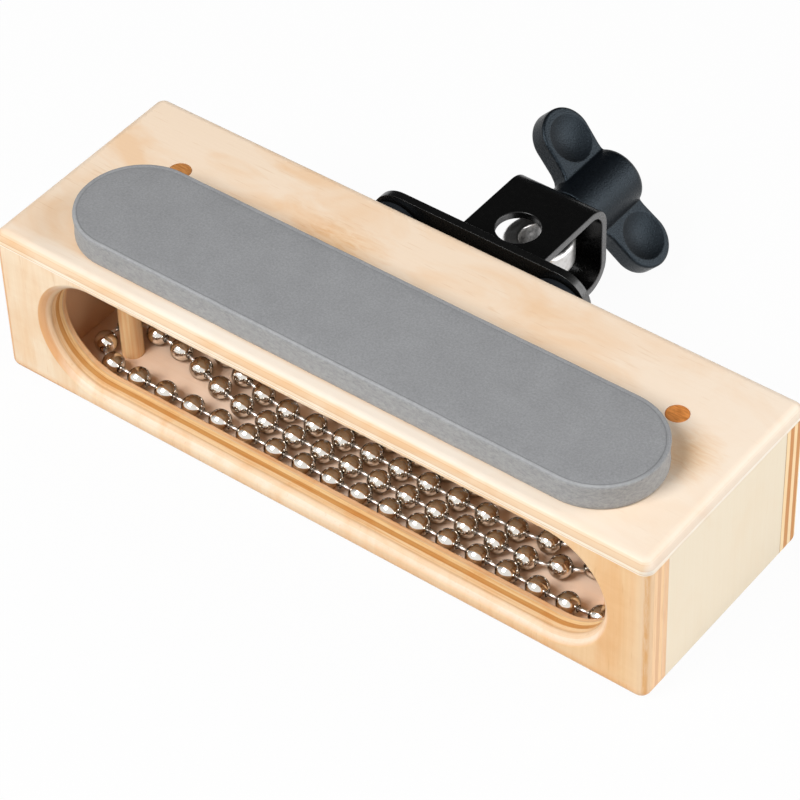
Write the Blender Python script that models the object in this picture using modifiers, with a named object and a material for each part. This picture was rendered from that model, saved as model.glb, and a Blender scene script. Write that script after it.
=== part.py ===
"""Hand clap block: a slotted plywood box with loose ball chains inside and a rod clamp behind.

Units are metres and +Z is up. The origin is the middle of the box's underside, +X runs along the
box and +Y points back to the clamp.
"""

import bpy
import bmesh
from math import asin, atan2, cos, hypot, pi, radians, sin, sqrt
from mathutils import Vector

# Plywood box
BOX_LENGTH = 0.210
BOX_DEPTH = 0.070
BOX_HEIGHT = 0.049
BOX_EDGE_RADIUS = 0.003
FRONT_PANEL_THICKNESS = 0.009
BACK_PANEL_THICKNESS = 0.009
END_PANEL_THICKNESS = 0.0102
TOP_PLATE_THICKNESS = 0.004
BOTTOM_PLATE_THICKNESS = 0.0017
GLUE_LINE = 0.0001

# Slot in the front panel
SLOT_END_MARGIN = 0.0148
SLOT_BOTTOM_MARGIN = 0.007
SLOT_TOP_MARGIN = 0.0076
SLOT_RIM_RADIUS = 0.002
SLOT_SHIFT = 0.001

# Foam strike pad on the top plate
PAD_END_MARGIN = 0.0138
PAD_WIDTH = 0.0354
PAD_THICKNESS = 0.0079
PAD_EDGE_RADIUS = 0.0008
PAD_FRONT_MARGIN = 0.0054
PAD_SHIFT = 0.001

# Dowels that the chains lie round
DOWEL_DIAMETER = 0.0063
DOWEL_END_INSET = 0.0144
DOWEL_SHIFT = 0.0007
DOWEL_SIDE_SHARE = 0.2577
DOWEL_FIT = 0.0002

# Ball chains
BALL_DIAMETER = 0.0065
BALL_PITCH = 0.0095
LINK_DIAMETER = 0.0015
CHAIN_CLEARANCE = 0.0003
ROW_GAP = 0.0002
WRAP_SLACK = 0.0006
CONNECTOR_LENGTH = 0.012
CONNECTOR_LEAD = 0.0024
CONNECTOR_LEAD_DROP = 0.0010
CONNECTOR_END_RADIUS = 0.0012

# Mounting plate on rubber washers
SCREW_SPACING_X = 0.0528
SCREW_SPACING_Z = 0.0224
PLATE_SIDE_MARGIN = 0.0086
PLATE_TOP_MARGIN = 0.0118
PLATE_THICKNESS = 0.0025
PLATE_CORNER_RADIUS = 0.009
SCREW_DIAMETER = 0.005
SCREW_HEAD_DIAMETER = 0.0095
SCREW_HEAD_HEIGHT = 0.003
SCREW_TIP_LENGTH = 0.001
SCREW_CLEARANCE = 0.0003
RUBBER_DIAMETER = 0.0195
RUBBER_THICKNESS = 0.0036
FLAT_WASHER_DIAMETER = 0.012
FLAT_WASHER_THICKNESS = 0.001
NUT_WIDTH = 0.008
NUT_THICKNESS = 0.004
SEAT_GAP = 0.0002

# Rod clamp
CLAMP_WIDTH = 0.027
CLAMP_HEIGHT = 0.028
CLAMP_DEPTH = 0.0379
CLAMP_THICKNESS = 0.0024
CLAMP_TOP_BEND_RADIUS = 0.007
CLAMP_BOTTOM_BEND_RADIUS = 0.008
CLAMP_CENTRE_HEIGHT = 0.0234
ROD_HOLE_DIAMETER = 0.0125
ROD_HOLE_DISTANCE = 0.0157

# Eye bolt, drawn back as far as it goes
BOLT_DIAMETER = 0.008
BOLT_END_GAP = 0.0036
BOLT_CLEARANCE = 0.0003
EYE_OUTER_DIAMETER = 0.020
EYE_HOLE_DIAMETER = 0.0108
EYE_THICKNESS = 0.008
EYE_EDGE_RADIUS = 0.0012
EYE_WALL_GAP = 0.0005

# Wing nut
CLAMP_WASHER_DIAMETER = 0.0165
CLAMP_WASHER_THICKNESS = 0.0008
HUB_DIAMETER = 0.0184
HUB_LENGTH = 0.0236
HUB_EDGE_RADIUS = 0.0022
HUB_END_WALL = 0.0031
WING_SPAN = 0.0526
WING_LOBE_RADIUS = 0.0083
WING_LOBE_DISTANCE = 0.0153
WING_ROOT_START = 0.0052
WING_THICKNESS = 0.006
WING_EDGE_RADIUS = 0.0008
WING_ANGLE = radians(43)
DIMPLE_DIAMETER = 0.0105
DIMPLE_DEPTH = 0.0012
INSERT_DIAMETER = 0.0125
INSERT_LENGTH = 0.012
INSERT_FIT = 0.0001

# Faceting
ROUND_SIDES = 24
ARC_STEPS = 14
BEND_STEPS = 5
EDGE_SEGMENTS = 3
CURVE_STEPS = 12
CHAIN_BEVEL_RESOLUTION = 2

# Planes and places that several pieces share
FRONT_FACE = -BOX_DEPTH / 2
BACK_FACE = BOX_DEPTH / 2
FRONT_INNER = FRONT_FACE + FRONT_PANEL_THICKNESS
BACK_INNER = BACK_FACE - BACK_PANEL_THICKNESS
END_INNER = BOX_LENGTH / 2 - END_PANEL_THICKNESS
WALL_TOP = BOX_HEIGHT - TOP_PLATE_THICKNESS
SLOT_LENGTH = BOX_LENGTH - 2 * SLOT_END_MARGIN
SLOT_HEIGHT = BOX_HEIGHT - SLOT_BOTTOM_MARGIN - SLOT_TOP_MARGIN
SLOT_CENTRE_HEIGHT = SLOT_BOTTOM_MARGIN + SLOT_HEIGHT / 2
PAD_LENGTH = BOX_LENGTH - 2 * PAD_END_MARGIN
DOWEL_LEFT_X = DOWEL_SHIFT - END_INNER + DOWEL_END_INSET
DOWEL_RIGHT_X = DOWEL_SHIFT + END_INNER - DOWEL_END_INSET
DOWEL_FRONT_Y = FRONT_INNER + DOWEL_SIDE_SHARE * (BACK_INNER - FRONT_INNER)
DOWEL_REAR_Y = BACK_INNER - DOWEL_SIDE_SHARE * (BACK_INNER - FRONT_INNER)
BALL_RADIUS = BALL_DIAMETER / 2
CHAIN_Z = BOTTOM_PLATE_THICKNESS + CHAIN_CLEARANCE + BALL_RADIUS
WRAP_RADIUS = DOWEL_DIAMETER / 2 + BALL_RADIUS + WRAP_SLACK
PLATE_WIDTH = SCREW_SPACING_X + 2 * PLATE_SIDE_MARGIN
PLATE_HEIGHT = SCREW_SPACING_Z + 2 * PLATE_TOP_MARGIN
PLATE_CENTRE_HEIGHT = BOX_HEIGHT / 2
PLATE_FRONT = BACK_FACE + SEAT_GAP + RUBBER_THICKNESS + SEAT_GAP
PLATE_BACK = PLATE_FRONT + PLATE_THICKNESS
CLAMP_FRONT = PLATE_BACK + SEAT_GAP
CLAMP_WALL_OUTER = CLAMP_FRONT + CLAMP_DEPTH
CLAMP_WALL_INNER = CLAMP_WALL_OUTER - CLAMP_THICKNESS
ROD_Y = PLATE_BACK + ROD_HOLE_DISTANCE
EYE_Y = CLAMP_WALL_INNER - EYE_WALL_GAP - EYE_OUTER_DIAMETER / 2
WASHER_FRONT = CLAMP_WALL_OUTER + SEAT_GAP
NUT_FRONT = WASHER_FRONT + CLAMP_WASHER_THICKNESS + SEAT_GAP
HUB_BORE_DEPTH = HUB_LENGTH - HUB_END_WALL
BOLT_END = NUT_FRONT + HUB_BORE_DEPTH - BOLT_END_GAP
BOLT_HOLE_RADIUS = BOLT_DIAMETER / 2 + BOLT_CLEARANCE
SCREW_HOLE_RADIUS = SCREW_DIAMETER / 2 + SCREW_CLEARANCE

# Object rotations: a turned piece along Y, an outline facing front, an outline in the YZ plane
ALONG_Y = (-pi / 2, 0, 0)
ALONG_X = (0, pi / 2, 0)
FACING_FRONT = (pi / 2, 0, 0)
FACING_SIDE = (pi / 2, 0, pi / 2)

# Colour, roughness and metallic value of each kind of piece
FINISHES = {
    "birch_ply": ((0.86, 0.68, 0.47), 0.45, 0.0),
    "dowel_wood": ((0.58, 0.28, 0.09), 0.5, 0.0),
    "grey_foam": ((0.27, 0.28, 0.29), 0.9, 0.0),
    "nickel": ((0.72, 0.70, 0.66), 0.12, 1.0),
    "black_steel": ((0.012, 0.012, 0.013), 0.25, 0.4),
    "black_rubber": ((0.02, 0.02, 0.022), 0.75, 0.0),
    "zinc_steel": ((0.55, 0.56, 0.57), 0.3, 1.0),
    "cast_eye": ((0.42, 0.38, 0.33), 0.5, 1.0),
    "blue_black_plastic": ((0.028, 0.033, 0.042), 0.5, 0.0),
    "brass": ((0.70, 0.52, 0.25), 0.3, 1.0),
}


def clear_scene():
    for obj in list(bpy.data.objects):
        bpy.data.objects.remove(obj, do_unlink=True)


def new_collection(name):
    collection = bpy.data.collections.new(name)
    bpy.context.scene.collection.children.link(collection)
    return collection


def new_material(name, finish):
    color, roughness, metallic = FINISHES[finish]
    material = bpy.data.materials.new(name)
    material.use_nodes = True
    shader = material.node_tree.nodes["Principled BSDF"]
    shader.inputs["Base Color"].default_value = (*color, 1.0)
    shader.inputs["Roughness"].default_value = roughness
    shader.inputs["Metallic"].default_value = metallic
    material.diffuse_color = (*color, 1.0)
    return material


def place(obj, location, rotation):
    obj.location = location
    obj.rotation_euler = rotation


def add_part(name, data, finish, location=(0, 0, 0), rotation=(0, 0, 0)):
    """A piece of the block, with a material of its own."""
    part = bpy.data.objects.new(name, data)
    data.name = name
    data.materials.append(new_material(name, finish))
    PARTS.objects.link(part)
    place(part, location, rotation)
    return part


def add_cutter(name, data, location=(0, 0, 0), rotation=(0, 0, 0)):
    cutter = bpy.data.objects.new(name, data)
    CUTTERS.objects.link(cutter)
    cutter.hide_render = True
    cutter.display_type = "WIRE"
    place(cutter, location, rotation)
    return cutter


def combine(part, other, operation):
    modifier = part.modifiers.new(other.name, "BOOLEAN")
    modifier.operation = operation
    modifier.object = other
    modifier.solver = "EXACT"


def evaluated_mesh(obj):
    bpy.context.view_layer.update()
    return bpy.data.meshes.new_from_object(obj.evaluated_get(bpy.context.evaluated_depsgraph_get()))


def shade_round(mesh, angle=radians(35)):
    mesh.shade_smooth()
    mesh.set_sharp_from_angle(angle=angle)


def finish_mesh(bm, name):
    mesh = bpy.data.meshes.new(name)
    bm.to_mesh(mesh)
    bm.free()
    shade_round(mesh)
    return mesh


def box_mesh(name, size):
    bm = bmesh.new()
    bmesh.ops.create_cube(bm, size=1.0)
    bmesh.ops.scale(bm, vec=size, verts=bm.verts)
    return finish_mesh(bm, name)


def cylinder_mesh(name, radius, depth, sides=ROUND_SIDES):
    bm = bmesh.new()
    bmesh.ops.create_cone(bm, cap_ends=True, segments=sides, radius1=radius, radius2=radius, depth=depth)
    return finish_mesh(bm, name)


def turned_mesh(name, profile, closed, sides=ROUND_SIDES):
    """Spin (radius, height) points about Z; they run down the outer side, top to bottom."""
    bm = bmesh.new()
    verts = [bm.verts.new((radius, 0, height)) for radius, height in profile]
    ends = verts[1:] + verts[:1] if closed else verts[1:]
    for start, end in zip(verts, ends):
        bm.edges.new((start, end))
    profile_mesh = bpy.data.meshes.new(name + "_profile")
    bm.to_mesh(profile_mesh)
    bm.free()
    lathe = bpy.data.objects.new(name + "_lathe", profile_mesh)
    bpy.context.scene.collection.objects.link(lathe)
    screw = lathe.modifiers.new("turn", "SCREW")
    screw.steps = sides
    screw.render_steps = sides
    screw.use_merge_vertices = True
    screw.merge_threshold = 0.00001
    mesh = evaluated_mesh(lathe)
    bpy.data.objects.remove(lathe, do_unlink=True)
    shade_round(mesh)
    return mesh


def arc(centre_x, centre_y, radius, start, end, steps=ARC_STEPS):
    """Points of an arc, both ends included, angles in degrees."""
    turns = [radians(start + (end - start) * step / steps) for step in range(steps + 1)]
    return [(centre_x + radius * cos(turn), centre_y + radius * sin(turn)) for turn in turns]


def stadium(length, width):
    half = (length - width) / 2
    return arc(half, 0, width / 2, -90, 90) + arc(-half, 0, width / 2, 90, 270)


def rounded_rectangle(width, height, radius):
    x = width / 2 - radius
    y = height / 2 - radius
    corners = ((x, -y, -90), (x, y, 0), (-x, y, 90), (-x, -y, 180))
    return [point for cx, cy, turn in corners for point in arc(cx, cy, radius, turn, turn + 90, BEND_STEPS)]


def outline_mesh(name, outlines, thickness, edge_radius=0.0):
    """A flat plate in the XY plane: the first outline is its edge and the others are holes."""
    curve = bpy.data.curves.new(name + "_outline", "CURVE")
    curve.dimensions = "2D"
    curve.fill_mode = "BOTH"
    curve.extrude = thickness / 2
    for outline in outlines:
        spline = curve.splines.new("POLY")
        spline.points.add(len(outline) - 1)
        for point, (x, y) in zip(spline.points, outline):
            point.co = (x, y, 0, 1)
        spline.use_cyclic_u = True
    drawing = bpy.data.objects.new(name + "_outline", curve)
    bpy.context.scene.collection.objects.link(drawing)
    mesh = evaluated_mesh(drawing)
    bpy.data.objects.remove(drawing, do_unlink=True)
    bm = bmesh.new()
    bm.from_mesh(mesh)
    bmesh.ops.remove_doubles(bm, verts=bm.verts, dist=0.000001)
    bmesh.ops.dissolve_limit(bm, angle_limit=radians(0.5), verts=bm.verts, edges=bm.edges)
    bmesh.ops.recalc_face_normals(bm, faces=bm.faces)
    if edge_radius:
        round_rims(bm, edge_radius)
    return finish_mesh(bm, name)


def round_rims(bm, radius):
    """Round every edge between a flat cap and the side wall of a plate in the XY plane."""
    caps = {face for face in bm.faces if abs(face.normal.z) > 0.99}
    rims = [edge for edge in bm.edges if len(caps.intersection(edge.link_faces)) == 1]
    bmesh.ops.bevel(bm, geom=rims, offset=radius, offset_type="OFFSET", segments=EDGE_SEGMENTS - 1,
                    profile=0.5, affect="EDGES", clamp_overlap=True)


def ring_profile(outer_radius, inner_radius, low, high):
    return [(outer_radius, high), (outer_radius, low), (inner_radius, low), (inner_radius, high)]


def quarter_round(radius, height, edge, start, end, steps=EDGE_SEGMENTS):
    """Profile points of a rounded corner whose sharp point would be at (radius, height)."""
    inward = -1 if sin(radians(start + end)) >= 0 else 1
    return arc(radius - edge, height + inward * edge, edge, start, end, steps)


def box_between(name, low, high, finish):
    """A box part between two corners, with its origin in its middle."""
    size = [b - a for a, b in zip(low, high)]
    middle = [(a + b) / 2 for a, b in zip(low, high)]
    return add_part(name, box_mesh(name, size), finish, middle)


def make_outer_block():
    """The rounded outside of the whole box, which every panel is trimmed to."""
    bm = bmesh.new()
    bmesh.ops.create_cube(bm, size=1.0)
    bmesh.ops.scale(bm, vec=(BOX_LENGTH, BOX_DEPTH, BOX_HEIGHT), verts=bm.verts)
    bmesh.ops.bevel(bm, geom=bm.edges[:], offset=BOX_EDGE_RADIUS, offset_type="OFFSET",
                    segments=EDGE_SEGMENTS, profile=0.5, affect="EDGES", clamp_overlap=True)
    return add_cutter("outer_block", finish_mesh(bm, "outer_block"), (0, 0, BOX_HEIGHT / 2))


def dowel_places():
    for row, y in (("front", DOWEL_FRONT_Y), ("rear", DOWEL_REAR_Y)):
        for side, x in (("left", DOWEL_LEFT_X), ("right", DOWEL_RIGHT_X)):
            yield f"{row}_{side}", x, y


def cut_dowel_holes(plate):
    for label, x, y in dowel_places():
        hole = cylinder_mesh("hole", DOWEL_DIAMETER / 2 + DOWEL_FIT, BOX_HEIGHT)
        middle = plate.location.z
        combine(plate, add_cutter(f"{plate.name}_{label}_hole", hole, (x, y, middle)), "DIFFERENCE")


def screw_places():
    for row, z in (("upper", 0.5), ("lower", -0.5)):
        for side, x in (("left", -0.5), ("right", 0.5)):
            yield f"{row}_{side}", x * SCREW_SPACING_X, PLATE_CENTRE_HEIGHT + z * SCREW_SPACING_Z


def make_panels(outer_block):
    half = BOX_LENGTH / 2
    top = WALL_TOP - GLUE_LINE
    front = box_between("front_panel", (-half, FRONT_FACE, 0), (half, FRONT_INNER, top), "birch_ply")
    back = box_between("back_panel", (-half, BACK_INNER, 0), (half, BACK_FACE, top), "birch_ply")
    side_low = (END_INNER, FRONT_INNER + GLUE_LINE, 0)
    side_high = (half, BACK_INNER - GLUE_LINE, top)
    right = box_between("right_end_panel", side_low, side_high, "birch_ply")
    left = box_between("left_end_panel", (-half, *side_low[1:]), (-END_INNER, *side_high[1:]), "birch_ply")
    lid_low, lid_high = (-half, FRONT_FACE, WALL_TOP), (half, BACK_FACE, BOX_HEIGHT)
    lid = box_between("top_plate", lid_low, lid_high, "birch_ply")
    floor_low = (-END_INNER + GLUE_LINE, FRONT_INNER + GLUE_LINE, 0)
    floor_high = (END_INNER - GLUE_LINE, BACK_INNER - GLUE_LINE, BOTTOM_PLATE_THICKNESS)
    floor = box_between("bottom_plate", floor_low, floor_high, "birch_ply")
    for panel in (front, back, left, right, lid):
        combine(panel, outer_block, "INTERSECT")
    for plate in (lid, floor):
        cut_dowel_holes(plate)
    cut_slot(front)
    cut_screw_holes(back, BACK_PANEL_THICKNESS * 2)


def cut_slot(panel):
    """Cut the stadium slot through the front panel and round its front rim."""
    slot = outline_mesh("slot", [stadium(SLOT_LENGTH, SLOT_HEIGHT)], FRONT_PANEL_THICKNESS * 2)
    place_of_slot = (SLOT_SHIFT, panel.location.y, SLOT_CENTRE_HEIGHT)
    combine(panel, add_cutter("slot", slot, place_of_slot, FACING_FRONT), "DIFFERENCE")
    mesh = evaluated_mesh(panel)
    panel.modifiers.clear()
    bm = bmesh.new()
    bm.from_mesh(mesh)
    front_y = -FRONT_PANEL_THICKNESS / 2
    fronts = {face for face in bm.faces if face.normal.y < -0.99}
    rim = [edge for edge in bm.edges if is_slot_rim(edge, fronts, front_y)]
    bmesh.ops.bevel(bm, geom=rim, offset=SLOT_RIM_RADIUS, offset_type="OFFSET", segments=EDGE_SEGMENTS,
                    profile=0.5, affect="EDGES", clamp_overlap=True)
    bm.to_mesh(mesh)
    bm.free()
    shade_round(mesh)
    panel.data = mesh


def is_slot_rim(edge, fronts, front_y):
    """True for an edge of the slot on the front face; its other face is the slot's inner wall."""
    on_front = all(abs(vert.co.y - front_y) < BOX_EDGE_RADIUS / 100 for vert in edge.verts)
    return on_front and len(fronts.intersection(edge.link_faces)) == 1 and is_inside_slot(edge)


def is_inside_slot(edge):
    x, _, z = (edge.verts[0].co + edge.verts[1].co) / 2
    z_from_slot = z + (WALL_TOP - GLUE_LINE) / 2 - SLOT_CENTRE_HEIGHT
    x_from_slot = x - SLOT_SHIFT
    return abs(x_from_slot) < SLOT_LENGTH / 2 + GLUE_LINE and abs(z_from_slot) < SLOT_HEIGHT / 2 + GLUE_LINE


def cut_screw_holes(part, depth):
    for label, x, z in screw_places():
        hole = cylinder_mesh("hole", SCREW_HOLE_RADIUS, depth)
        cutter = add_cutter(f"{part.name}_{label}_hole", hole, (x, part.location.y, z), ALONG_Y)
        combine(part, cutter, "DIFFERENCE")


def make_dowels():
    for label, x, y in dowel_places():
        rod = cylinder_mesh("dowel", DOWEL_DIAMETER / 2, BOX_HEIGHT)
        add_part(f"{label}_dowel", rod, "dowel_wood", (x, y, BOX_HEIGHT / 2))


def make_strike_pad():
    pad = outline_mesh("strike_pad", [stadium(PAD_LENGTH, PAD_WIDTH)], PAD_THICKNESS, PAD_EDGE_RADIUS)
    y = FRONT_FACE + PAD_FRONT_MARGIN + PAD_WIDTH / 2
    add_part("strike_pad", pad, "grey_foam", (PAD_SHIFT, y, BOX_HEIGHT + GLUE_LINE + PAD_THICKNESS / 2))


def connector_place(dowel_y):
    """The connector lies behind the right-hand dowel, out of sight of the slot."""
    return DOWEL_RIGHT_X, dowel_y + WRAP_RADIUS + WRAP_SLACK


def connector_ends(dowel_y):
    """Where a chain leaves its connector and where it comes back to it, each with a short lead."""
    x, y = connector_place(dowel_y)
    stub = CONNECTOR_LENGTH / 2 + CHAIN_CLEARANCE
    lead = stub + CONNECTOR_LEAD
    leaving = [(x + stub, y), (x + lead, y - CONNECTOR_LEAD_DROP)]
    returning = [(x - lead, y - CONNECTOR_LEAD_DROP), (x - stub, y)]
    return leaving, returning


def chain_rows():
    """Y of the four rows that lie side by side behind the front panel."""
    first = FRONT_INNER + CHAIN_CLEARANCE + BALL_RADIUS
    return [first + row * (BALL_DIAMETER + ROW_GAP) for row in range(4)]


def wrap_point(x, y, turn):
    return x + WRAP_RADIUS * cos(radians(turn)), y + WRAP_RADIUS * sin(radians(turn))


def between(start, end, share):
    return start + (end - start) * share


def front_route():
    """Hand-placed points of the front loop, from its connector round to the connector again."""
    row_a, row_b, _, _ = chain_rows()
    left, right, y = DOWEL_LEFT_X, DOWEL_RIGHT_X, DOWEL_FRONT_Y
    turn = END_INNER - CHAIN_CLEARANCE - BALL_RADIUS
    near, far = y - WRAP_RADIUS, y + WRAP_RADIUS
    leaving, returning = connector_ends(y)
    return leaving + [
        (turn, between(y, far, 0.38)),
        (between(right, turn, 0.95), between(y, row_a, 0.38)),
        (between(right, turn, 0.58), between(y, row_a, 0.76)),
        (right - 0.0010, between(near, row_a, 0.76)),
        (right - 0.0100, row_a),
        (right - 0.0190, row_a),
        (left + 0.0180, row_a),
        (left + 0.0090, row_a),
        (left - 0.0019, between(near, row_a, 0.47)),
        wrap_point(left, y, 201),
        wrap_point(left, y, 160),
        wrap_point(left, y, 108),
        (left + 0.0066, between(row_b, far, 0.92)),
        (left + 0.0155, between(row_b, far, 0.81)),
        (left + 0.0243, between(row_b, far, 0.52)),
        (left + 0.0333, between(row_b, far, 0.25)),
        (left + 0.0430, between(row_b, far, 0.08)),
        (left + 0.0530, row_b),
        (left + 0.0630, row_b),
        (right - 0.0430, row_b),
        (right - 0.0340, between(row_b, far, 0.01)),
        (right - 0.0240, between(row_b, far, 0.03)),
        (right - 0.0160, between(row_b, far, 0.31)),
        (right - 0.0102, between(row_b, far, 0.63)),
    ] + returning


def rear_route():
    """Hand-placed points of the rear loop, whose rows have slid forward against the front loop."""
    _, _, row_c, row_d = chain_rows()
    left, right, y = DOWEL_LEFT_X, DOWEL_RIGHT_X, DOWEL_REAR_Y
    turn = END_INNER - CHAIN_CLEARANCE - BALL_RADIUS
    near, far = y - WRAP_RADIUS, y + WRAP_RADIUS
    leaving, returning = connector_ends(y)
    return leaving + [
        (turn, between(y, far, 0.38)),
        (between(right, turn, 0.90), between(y, near, 0.54)),
        (between(right, turn, 0.46), between(y, near, 1.02)),
        (right - 0.0031, between(near, row_c, 0.06)),
        (right - 0.0110, between(near, row_c, 0.31)),
        (right - 0.0170, between(near, row_c, 0.61)),
        (right - 0.0228, between(near, row_c, 0.85)),
        (right - 0.0315, between(near, row_c, 0.98)),
        (right - 0.0410, row_c),
        (right - 0.0500, row_c),
        (left + 0.0620, row_c),
        (left + 0.0524, row_c),
        (left + 0.0432, between(near, row_c, 0.92)),
        (left + 0.0344, between(near, row_c, 0.77)),
        (left + 0.0250, between(near, row_c, 0.53)),
        (left + 0.0150, between(near, row_c, 0.30)),
        (left + 0.0060, between(near, row_c, 0.06)),
        wrap_point(left, y, 253),
        wrap_point(left, y, 199),
        wrap_point(left, y, 160),
        wrap_point(left, y, 108),
        (left + 0.0050, far),
        (left + 0.0160, between(row_d, far, 0.91)),
        (left + 0.0300, between(row_d, far, 0.65)),
        (left + 0.0440, between(row_d, far, 0.34)),
        (left + 0.0580, between(row_d, far, 0.11)),
        (left + 0.0720, row_d),
        (left + 0.0820, row_d),
        (right - 0.0620, row_d),
        (right - 0.0520, row_d),
        (right - 0.0400, between(row_d, far, 0.11)),
        (right - 0.0280, between(row_d, far, 0.39)),
        (right - 0.0170, between(row_d, far, 0.72)),
    ] + returning


def smooth_curve(route):
    """Closely spaced points of a smooth curve through the route's points, at the chain's height."""
    points = [Vector((x, y, CHAIN_Z)) for x, y in route]
    spans = [(end - start).length for start, end in zip(points, points[1:])]
    slopes = [(end - start) / span for start, end, span in zip(points, points[1:], spans)]
    headings = [slopes[0]]
    for before, after, span_before, span_after in zip(slopes, slopes[1:], spans, spans[1:]):
        headings.append((before * span_after + after * span_before) / (span_before + span_after))
    headings.append(slopes[-1])
    curve = [points[0]]
    for index, span in enumerate(spans):
        for step in range(1, CURVE_STEPS + 1):
            curve.append(hermite(points, headings, index, span, step / CURVE_STEPS))
    return curve


def hermite(points, headings, index, span, t):
    start, end = points[index], points[index + 1]
    leaving, arriving = headings[index] * span, headings[index + 1] * span
    along = start * (2 * t ** 3 - 3 * t ** 2 + 1) + end * (3 * t ** 2 - 2 * t ** 3)
    return along + leaving * (t ** 3 - 2 * t ** 2 + t) + arriving * (t ** 3 - t ** 2)


def point_along(curve, lengths, distance):
    """The point at a distance along the curve."""
    index = 0
    while index < len(lengths) - 2 and lengths[index + 1] < distance:
        index += 1
    share = (distance - lengths[index]) / (lengths[index + 1] - lengths[index])
    return curve[index].lerp(curve[index + 1], share)


def bead_stations(length):
    """Distance and radius of each ring along a chain: three rings a half ball, thin links between."""
    count = round(length / BALL_PITCH)
    pitch = length / count
    link_radius = LINK_DIAMETER / 2
    neck = sqrt(BALL_RADIUS ** 2 - link_radius ** 2)
    stations = [(0.0, link_radius)]
    for ball in range(count):
        centre = (ball + 0.5) * pitch
        for share in (-1, -0.62, 0, 0.62, 1):
            offset = share * neck
            stations.append((centre + offset, sqrt(BALL_RADIUS ** 2 - offset ** 2)))
    stations.append((length, link_radius))
    return stations


def make_chain(name, route):
    """One unbroken beaded tube along the smoothed route."""
    curve = smooth_curve(route)
    lengths = [0.0]
    for start, end in zip(curve, curve[1:]):
        lengths.append(lengths[-1] + (end - start).length)
    stations = bead_stations(lengths[-1])
    tube = bpy.data.curves.new(name, "CURVE")
    tube.dimensions = "3D"
    tube.twist_mode = "Z_UP"
    tube.bevel_depth = BALL_RADIUS
    tube.bevel_resolution = CHAIN_BEVEL_RESOLUTION
    tube.use_fill_caps = True
    spline = tube.splines.new("POLY")
    spline.points.add(len(stations) - 1)
    for point, (distance, radius) in zip(spline.points, stations):
        point.co = (*point_along(curve, lengths, distance), 1)
        point.radius = radius / BALL_RADIUS
    add_part(name, tube, "nickel")
    return curve


def make_connector(name, dowel_y):
    half = CONNECTOR_LENGTH / 2
    edge = CONNECTOR_END_RADIUS
    top = quarter_round(BALL_RADIUS, half, edge, 90, 0)
    bottom = quarter_round(BALL_RADIUS, -half, edge, 0, -90)
    profile = [(0, half)] + top + bottom + [(0, -half)]
    x, y = connector_place(dowel_y)
    add_part(name, turned_mesh(name, profile, False, ROUND_SIDES // 2), "nickel", (x, y, CHAIN_Z), ALONG_X)


def least_gap(first, second, skip):
    """Least room between two chain curves, or within one, leaving out points close along it."""
    gaps = []
    for i, point in enumerate(first):
        for j, other in enumerate(second):
            if first is not second or abs(i - j) > skip:
                gaps.append((point - other).length)
    return min(gaps) - BALL_DIAMETER


def make_chains():
    front = make_chain("front_chain", front_route())
    rear = make_chain("rear_chain", rear_route())
    make_connector("front_chain_connector", DOWEL_FRONT_Y)
    make_connector("rear_chain_connector", DOWEL_REAR_Y)
    skip = 3 * CURVE_STEPS
    print("least gap between the chains (m):", round(least_gap(front, rear, 0), 5))
    print("least gap in the front chain (m):", round(least_gap(front, front, skip), 5))
    print("least gap in the rear chain (m):", round(least_gap(rear, rear, skip), 5))


def make_mount_plate():
    edge = rounded_rectangle(PLATE_WIDTH, PLATE_HEIGHT, PLATE_CORNER_RADIUS)
    last = 360 - 360 / ROUND_SIDES
    holes = [arc(x, z - PLATE_CENTRE_HEIGHT, SCREW_HOLE_RADIUS, 0, last, ROUND_SIDES - 1)
             for _, x, z in screw_places()]
    plate = outline_mesh("mount_plate", [edge] + holes, PLATE_THICKNESS)
    middle = (0, (PLATE_FRONT + PLATE_BACK) / 2, PLATE_CENTRE_HEIGHT)
    add_part("mount_plate", plate, "black_steel", middle, FACING_FRONT)


def make_fasteners():
    """At each corner of the plate: a rubber washer, a screw, and a flat washer and nut in the box."""
    rubber = ring_profile(RUBBER_DIAMETER / 2, SCREW_HOLE_RADIUS, 0, RUBBER_THICKNESS)
    flat = ring_profile(FLAT_WASHER_DIAMETER / 2, SCREW_HOLE_RADIUS, 0, FLAT_WASHER_THICKNESS)
    flat_back = BACK_INNER - SEAT_GAP
    nut_back = flat_back - FLAT_WASHER_THICKNESS - SEAT_GAP
    head_face = PLATE_BACK + SEAT_GAP
    tip = nut_back - NUT_THICKNESS - SCREW_TIP_LENGTH
    for label, x, z in screw_places():
        add_part(f"rubber_washer_{label}", turned_mesh("rubber", rubber, True), "black_rubber",
                 (x, BACK_FACE + SEAT_GAP, z), ALONG_Y)
        add_part(f"bracket_screw_{label}", screw_mesh(head_face - tip), "zinc_steel",
                 (x, head_face, z), ALONG_Y)
        add_part(f"flat_washer_{label}", turned_mesh("flat", flat, True), "zinc_steel",
                 (x, flat_back - FLAT_WASHER_THICKNESS, z), ALONG_Y)
        add_nut(f"bracket_nut_{label}", (x, nut_back - NUT_THICKNESS / 2, z))


def screw_mesh(shank_length):
    """A domed screw with its head's seat at height zero and its shank below."""
    radius = SCREW_HEAD_DIAMETER / 2
    rim = SCREW_HEAD_HEIGHT / 3
    dome = [(radius * cos(radians(turn)), rim + (SCREW_HEAD_HEIGHT - rim) * sin(radians(turn)))
            for turn in (60, 30, 0)]
    shank = SCREW_DIAMETER / 2
    below = [(radius, 0), (shank, 0), (shank, -shank_length), (0, -shank_length)]
    return turned_mesh("screw", [(0, SCREW_HEAD_HEIGHT)] + dome + below, False, ROUND_SIDES // 2)


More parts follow.
